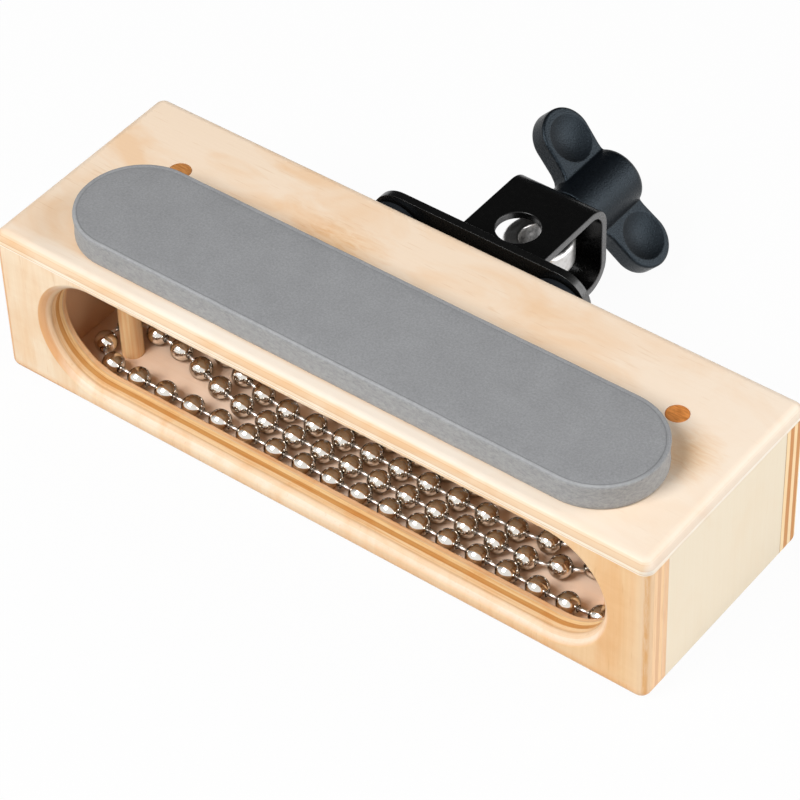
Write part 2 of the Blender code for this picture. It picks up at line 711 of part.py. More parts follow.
def add_nut(name, place_of_nut):
    corner_radius = NUT_WIDTH / 2 / cos(pi / 6)
    hexagon = cylinder_mesh(name, corner_radius, NUT_THICKNESS, 6)
    nut = add_part(name, hexagon, "zinc_steel", place_of_nut, ALONG_Y)
    bore = cylinder_mesh("bore", SCREW_HOLE_RADIUS, NUT_THICKNESS * 2, ROUND_SIDES // 2)
    combine(nut, add_cutter(f"{name}_bore", bore, place_of_nut, ALONG_Y), "DIFFERENCE")


def clamp_outline():
    """The bent strip's edge in the YZ plane: X is the distance from the plate, Y the height."""
    depth, half, thickness = CLAMP_DEPTH, CLAMP_HEIGHT / 2, CLAMP_THICKNESS
    top, bottom = CLAMP_TOP_BEND_RADIUS, CLAMP_BOTTOM_BEND_RADIUS
    outer = arc(depth - bottom, bottom - half, bottom, -90, 0, BEND_STEPS)
    outer += arc(depth - top, half - top, top, 0, 90, BEND_STEPS)
    inner = arc(depth - top, half - top, top - thickness, 90, 0, BEND_STEPS)
    inner += arc(depth - bottom, bottom - half, bottom - thickness, 0, -90, BEND_STEPS)
    return [(0, -half)] + outer + [(0, half), (0, half - thickness)] + inner + [(0, thickness - half)]


def make_clamp_bracket():
    strip = outline_mesh("clamp_bracket", [clamp_outline()], CLAMP_WIDTH)
    foot = (0, CLAMP_FRONT, CLAMP_CENTRE_HEIGHT)
    clamp = add_part("clamp_bracket", strip, "black_steel", foot, FACING_SIDE)
    rod = cylinder_mesh("rod_hole", ROD_HOLE_DIAMETER / 2, CLAMP_HEIGHT * 2)
    combine(clamp, add_cutter("rod_hole", rod, (0, ROD_Y, CLAMP_CENTRE_HEIGHT)), "DIFFERENCE")
    bolt = cylinder_mesh("bolt_hole", BOLT_HOLE_RADIUS, CLAMP_THICKNESS * 2)
    wall = (0, (CLAMP_WALL_INNER + CLAMP_WALL_OUTER) / 2, CLAMP_CENTRE_HEIGHT)
    combine(clamp, add_cutter("bolt_hole", bolt, wall, ALONG_Y), "DIFFERENCE")


def make_eye_bolt():
    """A cast ring that takes the rod, on a threaded shank that runs back through the clamp's wall."""
    outer = EYE_OUTER_DIAMETER / 2
    inner = EYE_HOLE_DIAMETER / 2
    half = EYE_THICKNESS / 2
    rim = quarter_round(outer, half, EYE_EDGE_RADIUS, 90, 0)
    rim += quarter_round(outer, -half, EYE_EDGE_RADIUS, 0, -90)
    eye = turned_mesh("eye_bolt", rim + [(inner, -half), (inner, half)], True, ROUND_SIDES + 4)
    bolt = add_part("eye_bolt", eye, "cast_eye", (0, EYE_Y, CLAMP_CENTRE_HEIGHT))
    root = EYE_Y + (inner + outer) / 2
    shank = cylinder_mesh("eye_bolt_shank", BOLT_DIAMETER / 2, BOLT_END - root)
    middle = (0, (root + BOLT_END) / 2, CLAMP_CENTRE_HEIGHT)
    combine(bolt, add_cutter("eye_bolt_shank", shank, middle, ALONG_Y), "UNION")


def wing_outline():
    """Both wings' edge, with X out from the bolt and Y back from the nut's front face."""
    lobe_x = WING_SPAN / 2 - WING_LOBE_RADIUS
    lobe_y = WING_LOBE_DISTANCE
    root_x = HUB_DIAMETER / 4
    root_end = HUB_LENGTH - HUB_EDGE_RADIUS / 2
    start = tangent_turn(lobe_x - root_x, lobe_y - WING_ROOT_START, -1)
    end = tangent_turn(lobe_x - root_x, lobe_y - root_end, 1)
    lobe = arc(lobe_x, lobe_y, WING_LOBE_RADIUS, start, end)
    right = [(root_x, WING_ROOT_START)] + lobe + [(root_x, root_end)]
    return right + [(-x, y) for x, y in reversed(right)]


def tangent_turn(across, along, side):
    """Angle on the lobe where a straight edge from the wing's root meets it."""
    lean = asin(WING_LOBE_RADIUS / hypot(across, along))
    return (atan2(along, across) + side * (lean + pi / 2)) * 180 / pi


def hub_profile():
    """The nut's solid hub about its axis, from its rounded back end to its flat front."""
    back = quarter_round(HUB_DIAMETER / 2, HUB_LENGTH, HUB_EDGE_RADIUS, 90, 0)
    return [(0, HUB_LENGTH)] + back + [(HUB_DIAMETER / 2, 0), (0, 0)]


def bore_profile():
    """The blind bore: wide at the front for the threaded insert, then just clear of the bolt."""
    insert = INSERT_DIAMETER / 2 + INSERT_FIT
    step = INSERT_LENGTH + INSERT_FIT
    deep = [(0, HUB_BORE_DEPTH), (BOLT_HOLE_RADIUS, HUB_BORE_DEPTH), (BOLT_HOLE_RADIUS, step)]
    return deep + [(insert, step), (insert, -HUB_EDGE_RADIUS), (0, -HUB_EDGE_RADIUS)]


def make_wing_nut():
    place_of_nut = (0, NUT_FRONT, CLAMP_CENTRE_HEIGHT)
    wings = outline_mesh("wing_nut", [wing_outline()], WING_THICKNESS, WING_EDGE_RADIUS)
    nut = add_part("wing_nut", wings, "blue_black_plastic", place_of_nut, (0, WING_ANGLE, 0))
    hub = turned_mesh("hub", hub_profile(), False, ROUND_SIDES + 4)
    combine(nut, add_cutter("hub", hub, place_of_nut, ALONG_Y), "UNION")
    bore = turned_mesh("hub_bore", bore_profile(), False)
    combine(nut, add_cutter("hub_bore", bore, place_of_nut, ALONG_Y), "DIFFERENCE")
    for label, side, face in (("a", 1, 1), ("b", -1, 1), ("c", 1, -1), ("d", -1, -1)):
        cut_dimple(nut, label, side, face)


def cut_dimple(nut, label, side, face):
    """A shallow thumb hollow in one face of one wing."""
    radius = (DIMPLE_DIAMETER ** 2 / 4 + DIMPLE_DEPTH ** 2) / (2 * DIMPLE_DEPTH)
    bm = bmesh.new()
    bmesh.ops.create_uvsphere(bm, u_segments=ROUND_SIDES * 2, v_segments=ROUND_SIDES * 2, radius=radius)
    across = side * (WING_SPAN / 2 - WING_LOBE_RADIUS)
    up = face * (WING_THICKNESS / 2 - DIMPLE_DEPTH + radius)
    x = across * cos(WING_ANGLE) + up * sin(WING_ANGLE)
    z = up * cos(WING_ANGLE) - across * sin(WING_ANGLE)
    middle = (x, NUT_FRONT + WING_LOBE_DISTANCE, CLAMP_CENTRE_HEIGHT + z)
    combine(nut, add_cutter(f"dimple_{label}", finish_mesh(bm, "dimple"), middle), "DIFFERENCE")


def make_nut_metal():
    insert = ring_profile(INSERT_DIAMETER / 2, BOLT_HOLE_RADIUS, 0, INSERT_LENGTH)
    add_part("wing_nut_insert", turned_mesh("insert", insert, True), "brass",
             (0, NUT_FRONT, CLAMP_CENTRE_HEIGHT), ALONG_Y)
    washer = ring_profile(CLAMP_WASHER_DIAMETER / 2, BOLT_HOLE_RADIUS, 0, CLAMP_WASHER_THICKNESS)
    add_part("clamp_washer", turned_mesh("washer", washer, True), "zinc_steel",
             (0, WASHER_FRONT, CLAMP_CENTRE_HEIGHT), ALONG_Y)


clear_scene()
PARTS = new_collection("hand_clap_block")
CUTTERS = new_collection("cutters")
make_panels(make_outer_block())
make_dowels()
make_strike_pad()
make_chains()
make_mount_plate()
make_fasteners()
make_clamp_bracket()
make_eye_bolt()
make_wing_nut()
make_nut_metal()
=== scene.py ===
"""Looks of the hand clap block: birch plywood, grey foam, nickel ball chain and a black rod clamp.

Lengths are in metres. The frame's origin is the middle of the box's underside, +Y points back to the clamp.
"""

from math import cos, pi, radians, sin, sqrt

import bmesh
import bpy
from mathutils import Matrix, Vector, noise


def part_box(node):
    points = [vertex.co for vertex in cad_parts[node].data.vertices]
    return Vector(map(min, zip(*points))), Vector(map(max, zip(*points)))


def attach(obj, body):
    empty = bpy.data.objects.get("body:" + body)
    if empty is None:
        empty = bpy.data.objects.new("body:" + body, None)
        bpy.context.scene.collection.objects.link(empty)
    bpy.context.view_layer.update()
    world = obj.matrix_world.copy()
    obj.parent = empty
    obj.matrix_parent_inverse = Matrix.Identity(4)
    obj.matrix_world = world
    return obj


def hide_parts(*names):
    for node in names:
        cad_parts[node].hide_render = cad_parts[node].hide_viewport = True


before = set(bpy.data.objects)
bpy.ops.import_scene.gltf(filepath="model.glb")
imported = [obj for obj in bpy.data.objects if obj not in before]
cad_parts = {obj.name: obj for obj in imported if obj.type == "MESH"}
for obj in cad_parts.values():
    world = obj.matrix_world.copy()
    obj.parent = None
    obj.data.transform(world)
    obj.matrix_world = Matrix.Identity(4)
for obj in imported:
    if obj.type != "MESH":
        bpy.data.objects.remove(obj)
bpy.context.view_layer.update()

# Camera of the photograph
CAMERA_PLACE = (0.4191, -0.5167, 0.6567)
CAMERA_RIGHT = (0.7951, 0.6058, -0.0278)
CAMERA_DOWN = (0.4040, -0.5633, -0.7208)
CAMERA_AHEAD = (-0.4523, 0.5619, -0.6926)
CAMERA_LENS = 158.17
CAMERA_SENSOR = 36.0

# Studio: each lamp's name, place, width and power, and the unlit side that the black pieces mirror
LAMPS = [
    ("front_softbox", (-0.19, -0.66, 0.80), 0.5, 9.8),
    ("right_back_softbox", (0.95, 0.77, 0.62), 0.8, 7.0),
    ("right_softbox", (1.25, 0.08, 0.30), 0.7, 4.8),
]
LAMP_TARGET = Vector((0, 0.02, 0.03))
DARK_SIDE = (-0.62, 0.58, 0.53)
WORLD_LIGHT = 0.2
FLOOR_HALF = 4.0
FLOOR_DROP = 0.0004
FLOOR_GLOW = 0.96

# Box
BOX_LOW = Vector((-0.105, -0.035, 0.0))
BOX_HIGH = Vector((0.105, 0.035, 0.049))
BOX_EDGE = 0.003
PANEL_ARRIS = 0.0001
GLUE_LINE = 0.0001
SLOT_LENGTH = 0.1804
SLOT_HEIGHT = 0.0344
SLOT_MIDDLE = Vector((0.001, BOX_LOW.y, 0.0242))
SLOT_RIM = 0.0027
SLOT_RIM_FULLNESS = 0.36
SLOT_INNER_RIM = 0.0008
SLOT_CUT = 0.03
DOWEL_RADIUS = 0.00315
DOWEL_HOLE = 0.0032
DOWEL_EDGE = 0.0002
DOWEL_PLACES = [(x, y) for y in (-0.0126, 0.0126) for x in (-0.0797, 0.0811)]
# Darker patches on the top by the pad, curly wood with the pad's shadow painted in: X, Y and a squeeze,
# which draws a patch out along X where it is below one
CURLY_AND_SHADOW_PATCHES = [(0.0905, 0.002, 1.0), (-0.0275, 0.0140, 0.6)]

# Finishes
SATIN_LACQUER = {"specular_ior_level": 0.22, "coat_weight": 0.1, "coat_roughness": 0.24}
NICKEL = (0.80, 0.765, 0.71)
COOL_SHINE = (0.66, 0.84, 1.0, 1.0)
BUMP_HEIGHT = 0.0002
COARSE_BUMP_HEIGHT = 0.0003

# Wood colours
PALE = (0.90, 0.73, 0.545)
CLEAR = (0.905, 0.732, 0.565)
CREAM = (0.88, 0.765, 0.59)
STRAW = (1.0, 0.83, 0.62)
HONEY = (1.0, 0.74, 0.44)
GOLD = (1.0, 0.80, 0.50)
PAINTED_SHADE_PLY = (0.60, 0.39, 0.22)
CORE = (0.64, 0.29, 0.08)
TAN = (0.86, 0.61, 0.37)
AMBER = (0.76, 0.39, 0.13)
RAW = (0.90, 0.60, 0.38)
WARM_FACE = (0.92, 0.755, 0.56)

# Plies from the outside in, or from the floor down: thickness in millimetres and colour
FRONT_PLIES = [
    (0.25, WARM_FACE), (1.1, (0.93, 0.765, 0.61)), (1.3, (0.885, 0.67, 0.46)), (0.35, TAN),
    (1.35, (1.0, 0.73, 0.44)), (1.45, AMBER), (1.2, (1.0, 0.72, 0.38)), (0.45, TAN),
    (1.55, (0.89, 0.57, 0.32)),
]
# The back panel's innermost ply is painted dark as shade inside the box.
BACK_PLIES = [(0.3, PALE), (2.1, GOLD), (1.7, CORE), (1.5, GOLD), (1.7, CORE), (1.55, GOLD), (0.15, PAINTED_SHADE_PLY)]
TOP_PLIES = [
    (0.7, CLEAR), (0.45, (0.86, 0.665, 0.475)), (0.2, (0.78, 0.56, 0.36)), (1.2, (0.83, 0.62, 0.42)),
    (0.3, (0.80, 0.56, 0.35)), (0.9, (0.96, 0.84, 0.68)), (0.13, (0.80, 0.58, 0.36)),
    (0.12, (0.82, 0.66, 0.48)),
]
END_PLIES = [(1.5, CREAM), (0.2, AMBER), (2.3, STRAW), (2.4, HONEY), (2.3, STRAW), (1.5, RAW)]
FLOOR_PLIES = [(0.6, (0.91, 0.71, 0.565)), (0.5, HONEY), (0.6, PALE)]
PLY_STEP = 0.006
PLY_WAVER = 0.035

# Pad: its section from the underside's middle round to the top's, as (inset, height) in millimetres,
# and the rows of it by which the foam's finish knows the places
PAD_PROFILE = [
    (17.2, 0.0), (9.0, 0.0), (1.2, 0.0), (0.35, 0.08), (0.12, 0.4), (0.1, 1.2), (0.2, 2.6), (0.26, 4.0),
    (0.2, 5.4), (0.08, 6.6), (0.05, 7.15), (0.12, 7.48), (0.3, 7.7), (0.6, 7.82), (0.92, 7.76), (1.12, 7.55),
    (1.3, 7.46), (1.5, 7.55), (1.9, 7.7), (3.2, 7.8), (4.6, 7.86), (6.5, 7.89), (9.0, 7.9), (13.0, 7.9),
    (17.2, 7.9),
]
PAD_MARKS = {"side": range(3, 12), "rim": range(12, 15), "crease": range(16, 17)}
PAD_ARC_STEPS = 28
PAD_RUN_STEPS = 90
# Below this the pad counts as its glued underside
PAD_FOOT = 0.0004

# Chains: the points that each loop passes through, in millimetres, from its connector round to it again
CHAIN_HEIGHT = 0.00525
BALL_RADIUS = 0.00325
BALL_PITCH = 0.0095
LINK_RADIUS = 0.0006
LINK_OVERLAP = 0.0012
MOUTH_RADIUS = 0.00105
MOUTH_SINK = 0.0001
BARREL_EDGE = 0.0011
WAIST_DEPTH = 0.00035
WAIST_HALF = 0.0012
WAIST_FLOOR = 0.0007
FRONT_LOOP = [
    (87.4, -5.0), (89.8, -6.0), (91.25, -9.94), (90.74, -16.34), (86.99, -20.09), (80.1, -21.77),
    (71.1, -22.45), (62.1, -22.45), (-61.7, -22.45), (-70.7, -22.45), (-81.6, -20.94), (-86.24, -15.11),
    (-86.28, -10.21), (-81.86, -5.94), (-73.1, -6.41), (-64.2, -7.53), (-55.4, -10.47), (-46.4, -13.21),
    (-36.7, -14.94), (-26.7, -15.75), (-16.7, -15.75), (38.1, -15.75), (47.1, -15.65), (57.1, -15.45),
    (65.1, -12.6), (70.9, -9.36), (72.4, -6.0), (74.8, -5.0),
]
REAR_LOOP = [
    (87.4, 20.2), (89.8, 19.2), (91.25, 15.26), (90.23, 8.82), (85.77, 5.46), (78.0, 4.72), (70.1, 1.06),
    (64.1, -3.34), (58.3, -6.85), (49.6, -8.76), (40.1, -9.05), (31.1, -9.05), (-17.7, -9.05),
    (-27.3, -9.05), (-36.5, -7.88), (-45.3, -5.68), (-54.7, -2.16), (-64.7, 1.2), (-73.7, 4.72),
    (-81.75, 5.91), (-86.32, 10.32), (-86.28, 14.99), (-81.86, 19.26), (-74.7, 19.6), (-63.7, 17.62),
    (-49.7, 11.92), (-35.7, 5.11), (-21.7, 0.06), (-7.7, -2.35), (2.3, -2.35), (19.1, -2.35), (29.1, -2.35),
    (41.1, 0.06), (53.1, 6.21), (64.1, 13.45), (72.4, 19.2), (74.8, 20.2),
]
LOOP_STEPS = 12

# Bracket on the back
SCREW_ACROSS = 0.0528
SCREW_UP = 0.0224
SCREW_MIDDLE = 0.0245
SCREW_HOLE = 0.0028
SCREW_SHANK = 0.0025
SCREW_TIP = 0.0008
SCREW_TIP_TAPER = 0.0006
HEAD_GAP = 0.0002
HEAD_RIM = 0.0008
HEAD_TAPER = 0.0002
RECESS_REACH = 0.0021
RECESS_HALF = 0.00042
RECESS_DEPTH = 0.0016
RECESS_ABOVE = 0.002
NUT_WIDTH = 0.008
NUT_FACE_INSET = 0.0001
NUT_CHAMFER = 0.0005
RUBBER_EDGE = 0.0006
WASHER_EDGE = 0.00015
PLATE_CORNER = 0.009
PLATE_EDGE = 0.0005
CLAMP_AXIS_HEIGHT = 0.0234
CLAMP_STRIP = 0.0024
CLAMP_TOP_BEND = 0.007
CLAMP_BOTTOM_BEND = 0.008
CLAMP_EDGE = 0.0004
ROD_PLACE_Y = 0.0572
ROD_HOLE = 0.00625
ROD_CUT = 0.06
BOLT_HOLE = 0.0043
BOLT_CUT = 0.01

# Eye bolt and wing nut
EYE_PLACE_Y = 0.0667
EYE_OUTER = 0.010
EYE_INNER = 0.0054
EYE_HALF = 0.004
EYE_EDGE = 0.0013
EYE_BORE_EDGE = 0.0006
EYE_VOXEL = 0.00028
PIT_DEPTH = 0.00012
NECK_LENGTH = 0.0052
NECK_INSET = 0.0001
BOLT_RADIUS = 0.004
BOLT_ROOT = 0.00336
BOLT_END_Y = 0.0977
THREAD_PITCH = 0.00125
THREAD_START = 0.0008
THREAD_STEPS = 8
THREAD_SIDES = 36
NUT_FRONT_Y = 0.0808
HUB_RADIUS = 0.0092
HUB_LENGTH = 0.0236
HUB_EDGE = 0.0022
HUB_FRONT_EDGE = 0.0005
BORE_START = -0.002
BORE_END = 0.0205
BORE_CLEARANCE = 0.0002
INSERT_END = 0.0124
INSERT_HOLE = 0.0066
NUT_VOXEL = 0.00023
LOBE_OUT = 0.018
LOBE_BACK = 0.0153
LOBE_RADIUS = 0.0083
# A wing's edge in front of its lobe and behind it, in millimetres
WING_NEAR_EDGE = [(4.6, 3.6), (7.6, 4.1), (8.8, 4.75), (10.0, 5.65), (12.2, 6.3)]
WING_FAR_EDGE = [(13.2, 22.95), (10.6, 22.55), (9.2, 22.5), (8.0, 22.8), (4.6, 23.1)]
WING_THICK = 0.006
WING_EDGE = 0.0007
WING_SKIN = 0.0005
BOWL_OUT = 0.0169
BOWL_BACK = 0.0155
BOWL_REACH = 0.0070
BOWL_DEPTH = 0.0021
WING_TURN = radians(43)

# Making of meshes
MERGE_DISTANCE = 0.0000005
FLAT_ANGLE = radians(0.3)
SHARP_ANGLE = radians(50)
FINE_EDGE = 0.00012
ALONG_Y = Matrix.Rotation(-pi / 2, 4, "X")
ALONG_X = Matrix.Rotation(pi / 2, 4, "Y")
FACING_FRONT = Matrix.Rotation(pi / 2, 4, "X")
FACING_SIDE = Matrix.Rotation(pi / 2, 4, "Z") @ Matrix.Rotation(pi / 2, 4, "X")


# Meshes

def workpiece(name, data):
    """A new object in the scene that holds a mesh, curve, lamp or camera."""
    obj = bpy.data.objects.new(name, data)
    bpy.context.scene.collection.objects.link(obj)
    return obj


def made_mesh(obj):
    """The object's shape with its modifiers carried out, as a plain mesh."""
    bpy.context.view_layer.update()
    graph = bpy.context.evaluated_depsgraph_get()
    solid = obj.evaluated_get(graph)
    return bpy.data.meshes.new_from_object(solid, preserve_all_data_layers=True, depsgraph=graph)


def clear_away(*objects):
    for obj in objects:
        bpy.data.objects.remove(obj, do_unlink=True)


def closed_mesh(bm, name):
    bmesh.ops.remove_doubles(bm, verts=bm.verts, dist=MERGE_DISTANCE)
    bmesh.ops.recalc_face_normals(bm, faces=bm.faces)
    mesh = bpy.data.meshes.new(name)
    bm.to_mesh(mesh)
    bm.free()
    return mesh


def moved(mesh, matrix):
    mesh.transform(matrix)
    return mesh


def block_mesh(low, high):
    bm = bmesh.new()
    bmesh.ops.create_cube(bm, size=1.0)
    bmesh.ops.scale(bm, vec=high - low, verts=bm.verts)
    bmesh.ops.translate(bm, vec=(low + high) / 2, verts=bm.verts)
    return closed_mesh(bm, "block")


def round_bar(radius, length, sides=64):
    bm = bmesh.new()
    bmesh.ops.create_cone(bm, cap_ends=True, segments=sides, radius1=radius, radius2=radius, depth=length)
    return closed_mesh(bm, "bar")


def lathe(profile, sides=64, closed=False):
    """Turn (radius, height) points about Z; a radius of zero is a pole."""
    bm = bmesh.new()
    rings = []
    for radius, height in profile:
        turns = [2 * pi * side / sides for side in range(sides)] if radius > 0 else [0.0]
        rings.append([bm.verts.new((radius * cos(t), radius * sin(t), height)) for t in turns])
    for upper, lower in zip(rings, rings[1:] + rings[:1] if closed else rings[1:]):
        for side in range(sides):
            after = (side + 1) % sides
            corners = [upper[side % len(upper)], upper[after % len(upper)],
                       lower[after % len(lower)], lower[side % len(lower)]]
            corners = list(dict.fromkeys(corners))
            if len(corners) > 2:
                bm.faces.new(corners)
    return closed_mesh(bm, "turned")


def skinned(bm, rings):
    """Close a row of rings of vertices to a skin with flat ends."""
    for lower, upper in zip(rings, rings[1:]):
        for index in range(len(lower)):
            after = (index + 1) % len(lower)
            bm.faces.new((lower[index], lower[after], upper[after], upper[index]))
    for end in (rings[0], rings[-1]):
        bm.faces.new(end)


def arc(x, y, radius, start, end, steps):
    turns = [radians(start + (end - start) * step / steps) for step in range(steps + 1)]
    return [(x + radius * cos(turn), y + radius * sin(turn)) for turn in turns]


def stadium(length, width, steps=40):
    half = (length - width) / 2
    return arc(half, 0, width / 2, -90, 90, steps) + arc(-half, 0, width / 2, 90, 270, steps)


def rounded_rectangle(width, height, radius, steps=12):
    x, y = width / 2 - radius, height / 2 - radius
    corners = ((x, -y, -90), (x, y, 0), (-x, y, 90), (-x, -y, 180))
    return [point for cx, cy, turn in corners for point in arc(cx, cy, radius, turn, turn + 90, steps)]


def flat_plate(outline, thickness, holes=()):
    """A plate in the XY plane, half its thickness above and half below."""
    curve = bpy.data.curves.new("outline", "CURVE")
    curve.dimensions = "2D"
    curve.fill_mode = "BOTH"
    curve.extrude = thickness / 2
    for points in (outline, *holes):
        spline = curve.splines.new("POLY")
        spline.points.add(len(points) - 1)
        spline.use_cyclic_u = True
        for point, (x, y) in zip(spline.points, points):
            point.co = (x, y, 0, 1)
    drawing = workpiece("outline", curve)
    mesh = made_mesh(drawing)
    clear_away(drawing)
    bm = bmesh.new()
    bm.from_mesh(mesh)
    bmesh.ops.remove_doubles(bm, verts=bm.verts, dist=MERGE_DISTANCE)
    bmesh.ops.dissolve_limit(bm, angle_limit=FLAT_ANGLE, verts=bm.verts, edges=bm.edges)
    return closed_mesh(bm, "plate")


def carve(base, *steps):
    """Carry out Boolean steps, each (operation, mesh), on a closed mesh."""
    blank = workpiece("blank", base)
    tools = []
    for operation, mesh in steps:
        tools.append(workpiece("tool", mesh))
        cut = blank.modifiers.new(operation, "BOOLEAN")
        cut.operation = operation
        cut.object = tools[-1]
        cut.solver = "EXACT"
    mesh = made_mesh(blank)
    clear_away(blank, *tools)
    return mesh


def round_edges(mesh, chosen, width, segments, fullness=0.5):
    """Round the edges for which chosen(edge) is true.

    A fullness of a half is a round, and one of a quarter a flat chamfer.
    """
    bm = bmesh.new()
    bm.from_mesh(mesh)
    bm.normal_update()
    edges = [edge for edge in bm.edges if len(edge.link_faces) == 2 and chosen(edge)]
    bmesh.ops.bevel(bm, geom=edges, offset=width, offset_type="OFFSET", segments=segments, profile=fullness,
                    affect="EDGES", clamp_overlap=True)
    bm.to_mesh(mesh)
    bm.free()
    return mesh


def is_sharp(edge):
    return edge.calc_face_angle(0.0) > SHARP_ANGLE


def fused(mesh, voxel, rounds):
    """Melt a carved shape into one even skin, as a casting or moulding has, and smooth it."""
    lump = workpiece("lump", mesh)
    melt = lump.modifiers.new("melt", "REMESH")
    melt.mode = "VOXEL"
    melt.voxel_size = voxel
    ease = lump.modifiers.new("ease", "SMOOTH")
    ease.factor = 0.5
    ease.iterations = rounds
    skin = made_mesh(lump)
    clear_away(lump)
    return skin


def even_shading(mesh, angle=35):
    """Smooth shading that keeps broad faces flat up to their rounded edges."""
    mesh.shade_smooth()
    mesh.set_sharp_from_angle(angle=radians(angle))
    holder = workpiece("shading", mesh)
    weigh = holder.modifiers.new("weigh", "WEIGHTED_NORMAL")
    weigh.keep_sharp = True
    shaded = made_mesh(holder)
    clear_away(holder)
    return shaded


def soft_shading(mesh):
    mesh.shade_smooth()
    return mesh


def add_piece(name, mesh, finish, body, slot, *nodes):
    """Put a finished mesh in the scene, on its body, in place of the solids it stands for."""
    mesh.name = name
    mesh.materials.clear()
    mesh.materials.append(finish)
    piece = workpiece(name, mesh)
    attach(piece, body)
    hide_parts(*nodes)
    return piece


# Finishes

def add_node(tree, kind, sockets=None, **settings):
    """A shader or geometry node; a socket's value is a number, a colour or another node's output."""
    node = tree.nodes.new(kind)
    for key, value in settings.items():
        setattr(node, key, value)
    for key, value in (sockets or {}).items():
        if isinstance(value, bpy.types.NodeSocket):
            tree.links.new(value, node.inputs[key])
        else:
            node.inputs[key].default_value = value
    return node


def new_finish(name, color, roughness, metallic=0.0, **more):
    material = bpy.data.materials.new(name)
    material.use_nodes = True
    shader = material.node_tree.nodes["Principled BSDF"]
    shader.inputs["Base Color"].default_value = (*color, 1.0)
    shader.inputs["Roughness"].default_value = roughness
    shader.inputs["Metallic"].default_value = metallic
    for key, value in more.items():
        shader.inputs[key.replace("_", " ").title().replace("Ior", "IOR")].default_value = value
    material.diffuse_color = (*color, 1.0)
    return material, material.node_tree, shader


def object_place(tree):
    return add_node(tree, "ShaderNodeTexCoord").outputs["Object"]


def stretched(tree, place, scale):
    return add_node(tree, "ShaderNodeMapping", {"Vector": place, "Scale": scale}).outputs["Vector"]


def attribute(tree, name):
    """A number that the mesh carries from its making."""
    return add_node(tree, "ShaderNodeAttribute", attribute_name=name).outputs["Fac"]


def coordinates(tree, vector):
    return add_node(tree, "ShaderNodeSeparateXYZ", {"Vector": vector}).outputs


def noise_value(tree, place, scale, detail=2.0, roughness=0.5, distortion=0.0):
    sockets = {"Vector": place, "Scale": scale, "Detail": detail, "Roughness": roughness}
    sockets["Distortion"] = distortion
    return add_node(tree, "ShaderNodeTexNoise", sockets).outputs["Fac"]


def stretched_noise(tree, place, stretch, detail, roughness, distortion=0.0):
    return noise_value(tree, stretched(tree, place, stretch), 1.0, detail, roughness, distortion)


def calculated(tree, operation, a, b=0.0):
    return add_node(tree, "ShaderNodeMath", {0: a, 1: b}, operation=operation).outputs[0]


def sum_of(tree, a, b):
    return calculated(tree, "ADD", a, b)


def product(tree, a, b):
    return calculated(tree, "MULTIPLY", a, b)


def ranged(tree, value, low, high, to_low, to_high):
    sockets = {"Value": value, "From Min": low, "From Max": high, "To Min": to_low, "To Max": to_high}
    return add_node(tree, "ShaderNodeMapRange", sockets).outputs["Result"]


def band(tree, value, rise, fall):
    """One from the end of the rise to the start of the fall, and zero outside them."""
    return product(tree, ranged(tree, value, *rise, 0.0, 1.0), ranged(tree, value, *fall, 1.0, 0.0))


def tones(tree, value, stops):
    """Colours along a value; each stop is (position, colour)."""
    ramp = add_node(tree, "ShaderNodeValToRGB", {"Fac": value})
    elements = ramp.color_ramp.elements
    while len(elements) < len(stops):
        elements.new(0.5)
    for element, (position, color) in zip(elements, stops):
        element.position = position
        element.color = (*color, 1.0)
    return ramp.outputs["Color"]


def mixed(tree, blend, amount, first, second, **settings):
    sockets = {0: amount, 6: first, 7: second}
    mix = add_node(tree, "ShaderNodeMix", sockets, data_type="RGBA", blend_type=blend, **settings)
    return mix.outputs[2]


def tinted(tree, color, tint, amount=1.0):
    """Multiply one colour by another."""
    return mixed(tree, "MULTIPLY", amount, color, tint, clamp_result=True)


def blended(tree, amount, first, second):
    return mixed(tree, "MIX", amount, first, second)


def roughen(tree, shader, height, strength, distance):
    bump = add_node(tree, "ShaderNodeBump", {"Height": height, "Strength": strength, "Distance": distance})
    tree.links.new(bump.outputs["Normal"], shader.inputs["Normal"])


def grey(value):
    return (value, value, value)


def ply_stops(plies, total):
    """Colour stops for plies given as (thickness in millimetres, colour), with a thin step between them."""
    stops, depth = [], 0.0
    for thickness, color in plies:
        stops.append((min(depth / total + PLY_STEP, 1.0), color))
        depth += thickness
        stops.append((min(depth / total - PLY_STEP, 1.0), color))
    stops[0] = (0.0, stops[0][1])
    return stops


def fibre_noise(tree, place, grain, along, across, detail, roughness, distortion=0.0):
    """Noise drawn out along the grain."""
    stretch = tuple(along if letter == grain else across for letter in "XYZ")
    return stretched_noise(tree, place, stretch, detail, roughness, distortion)


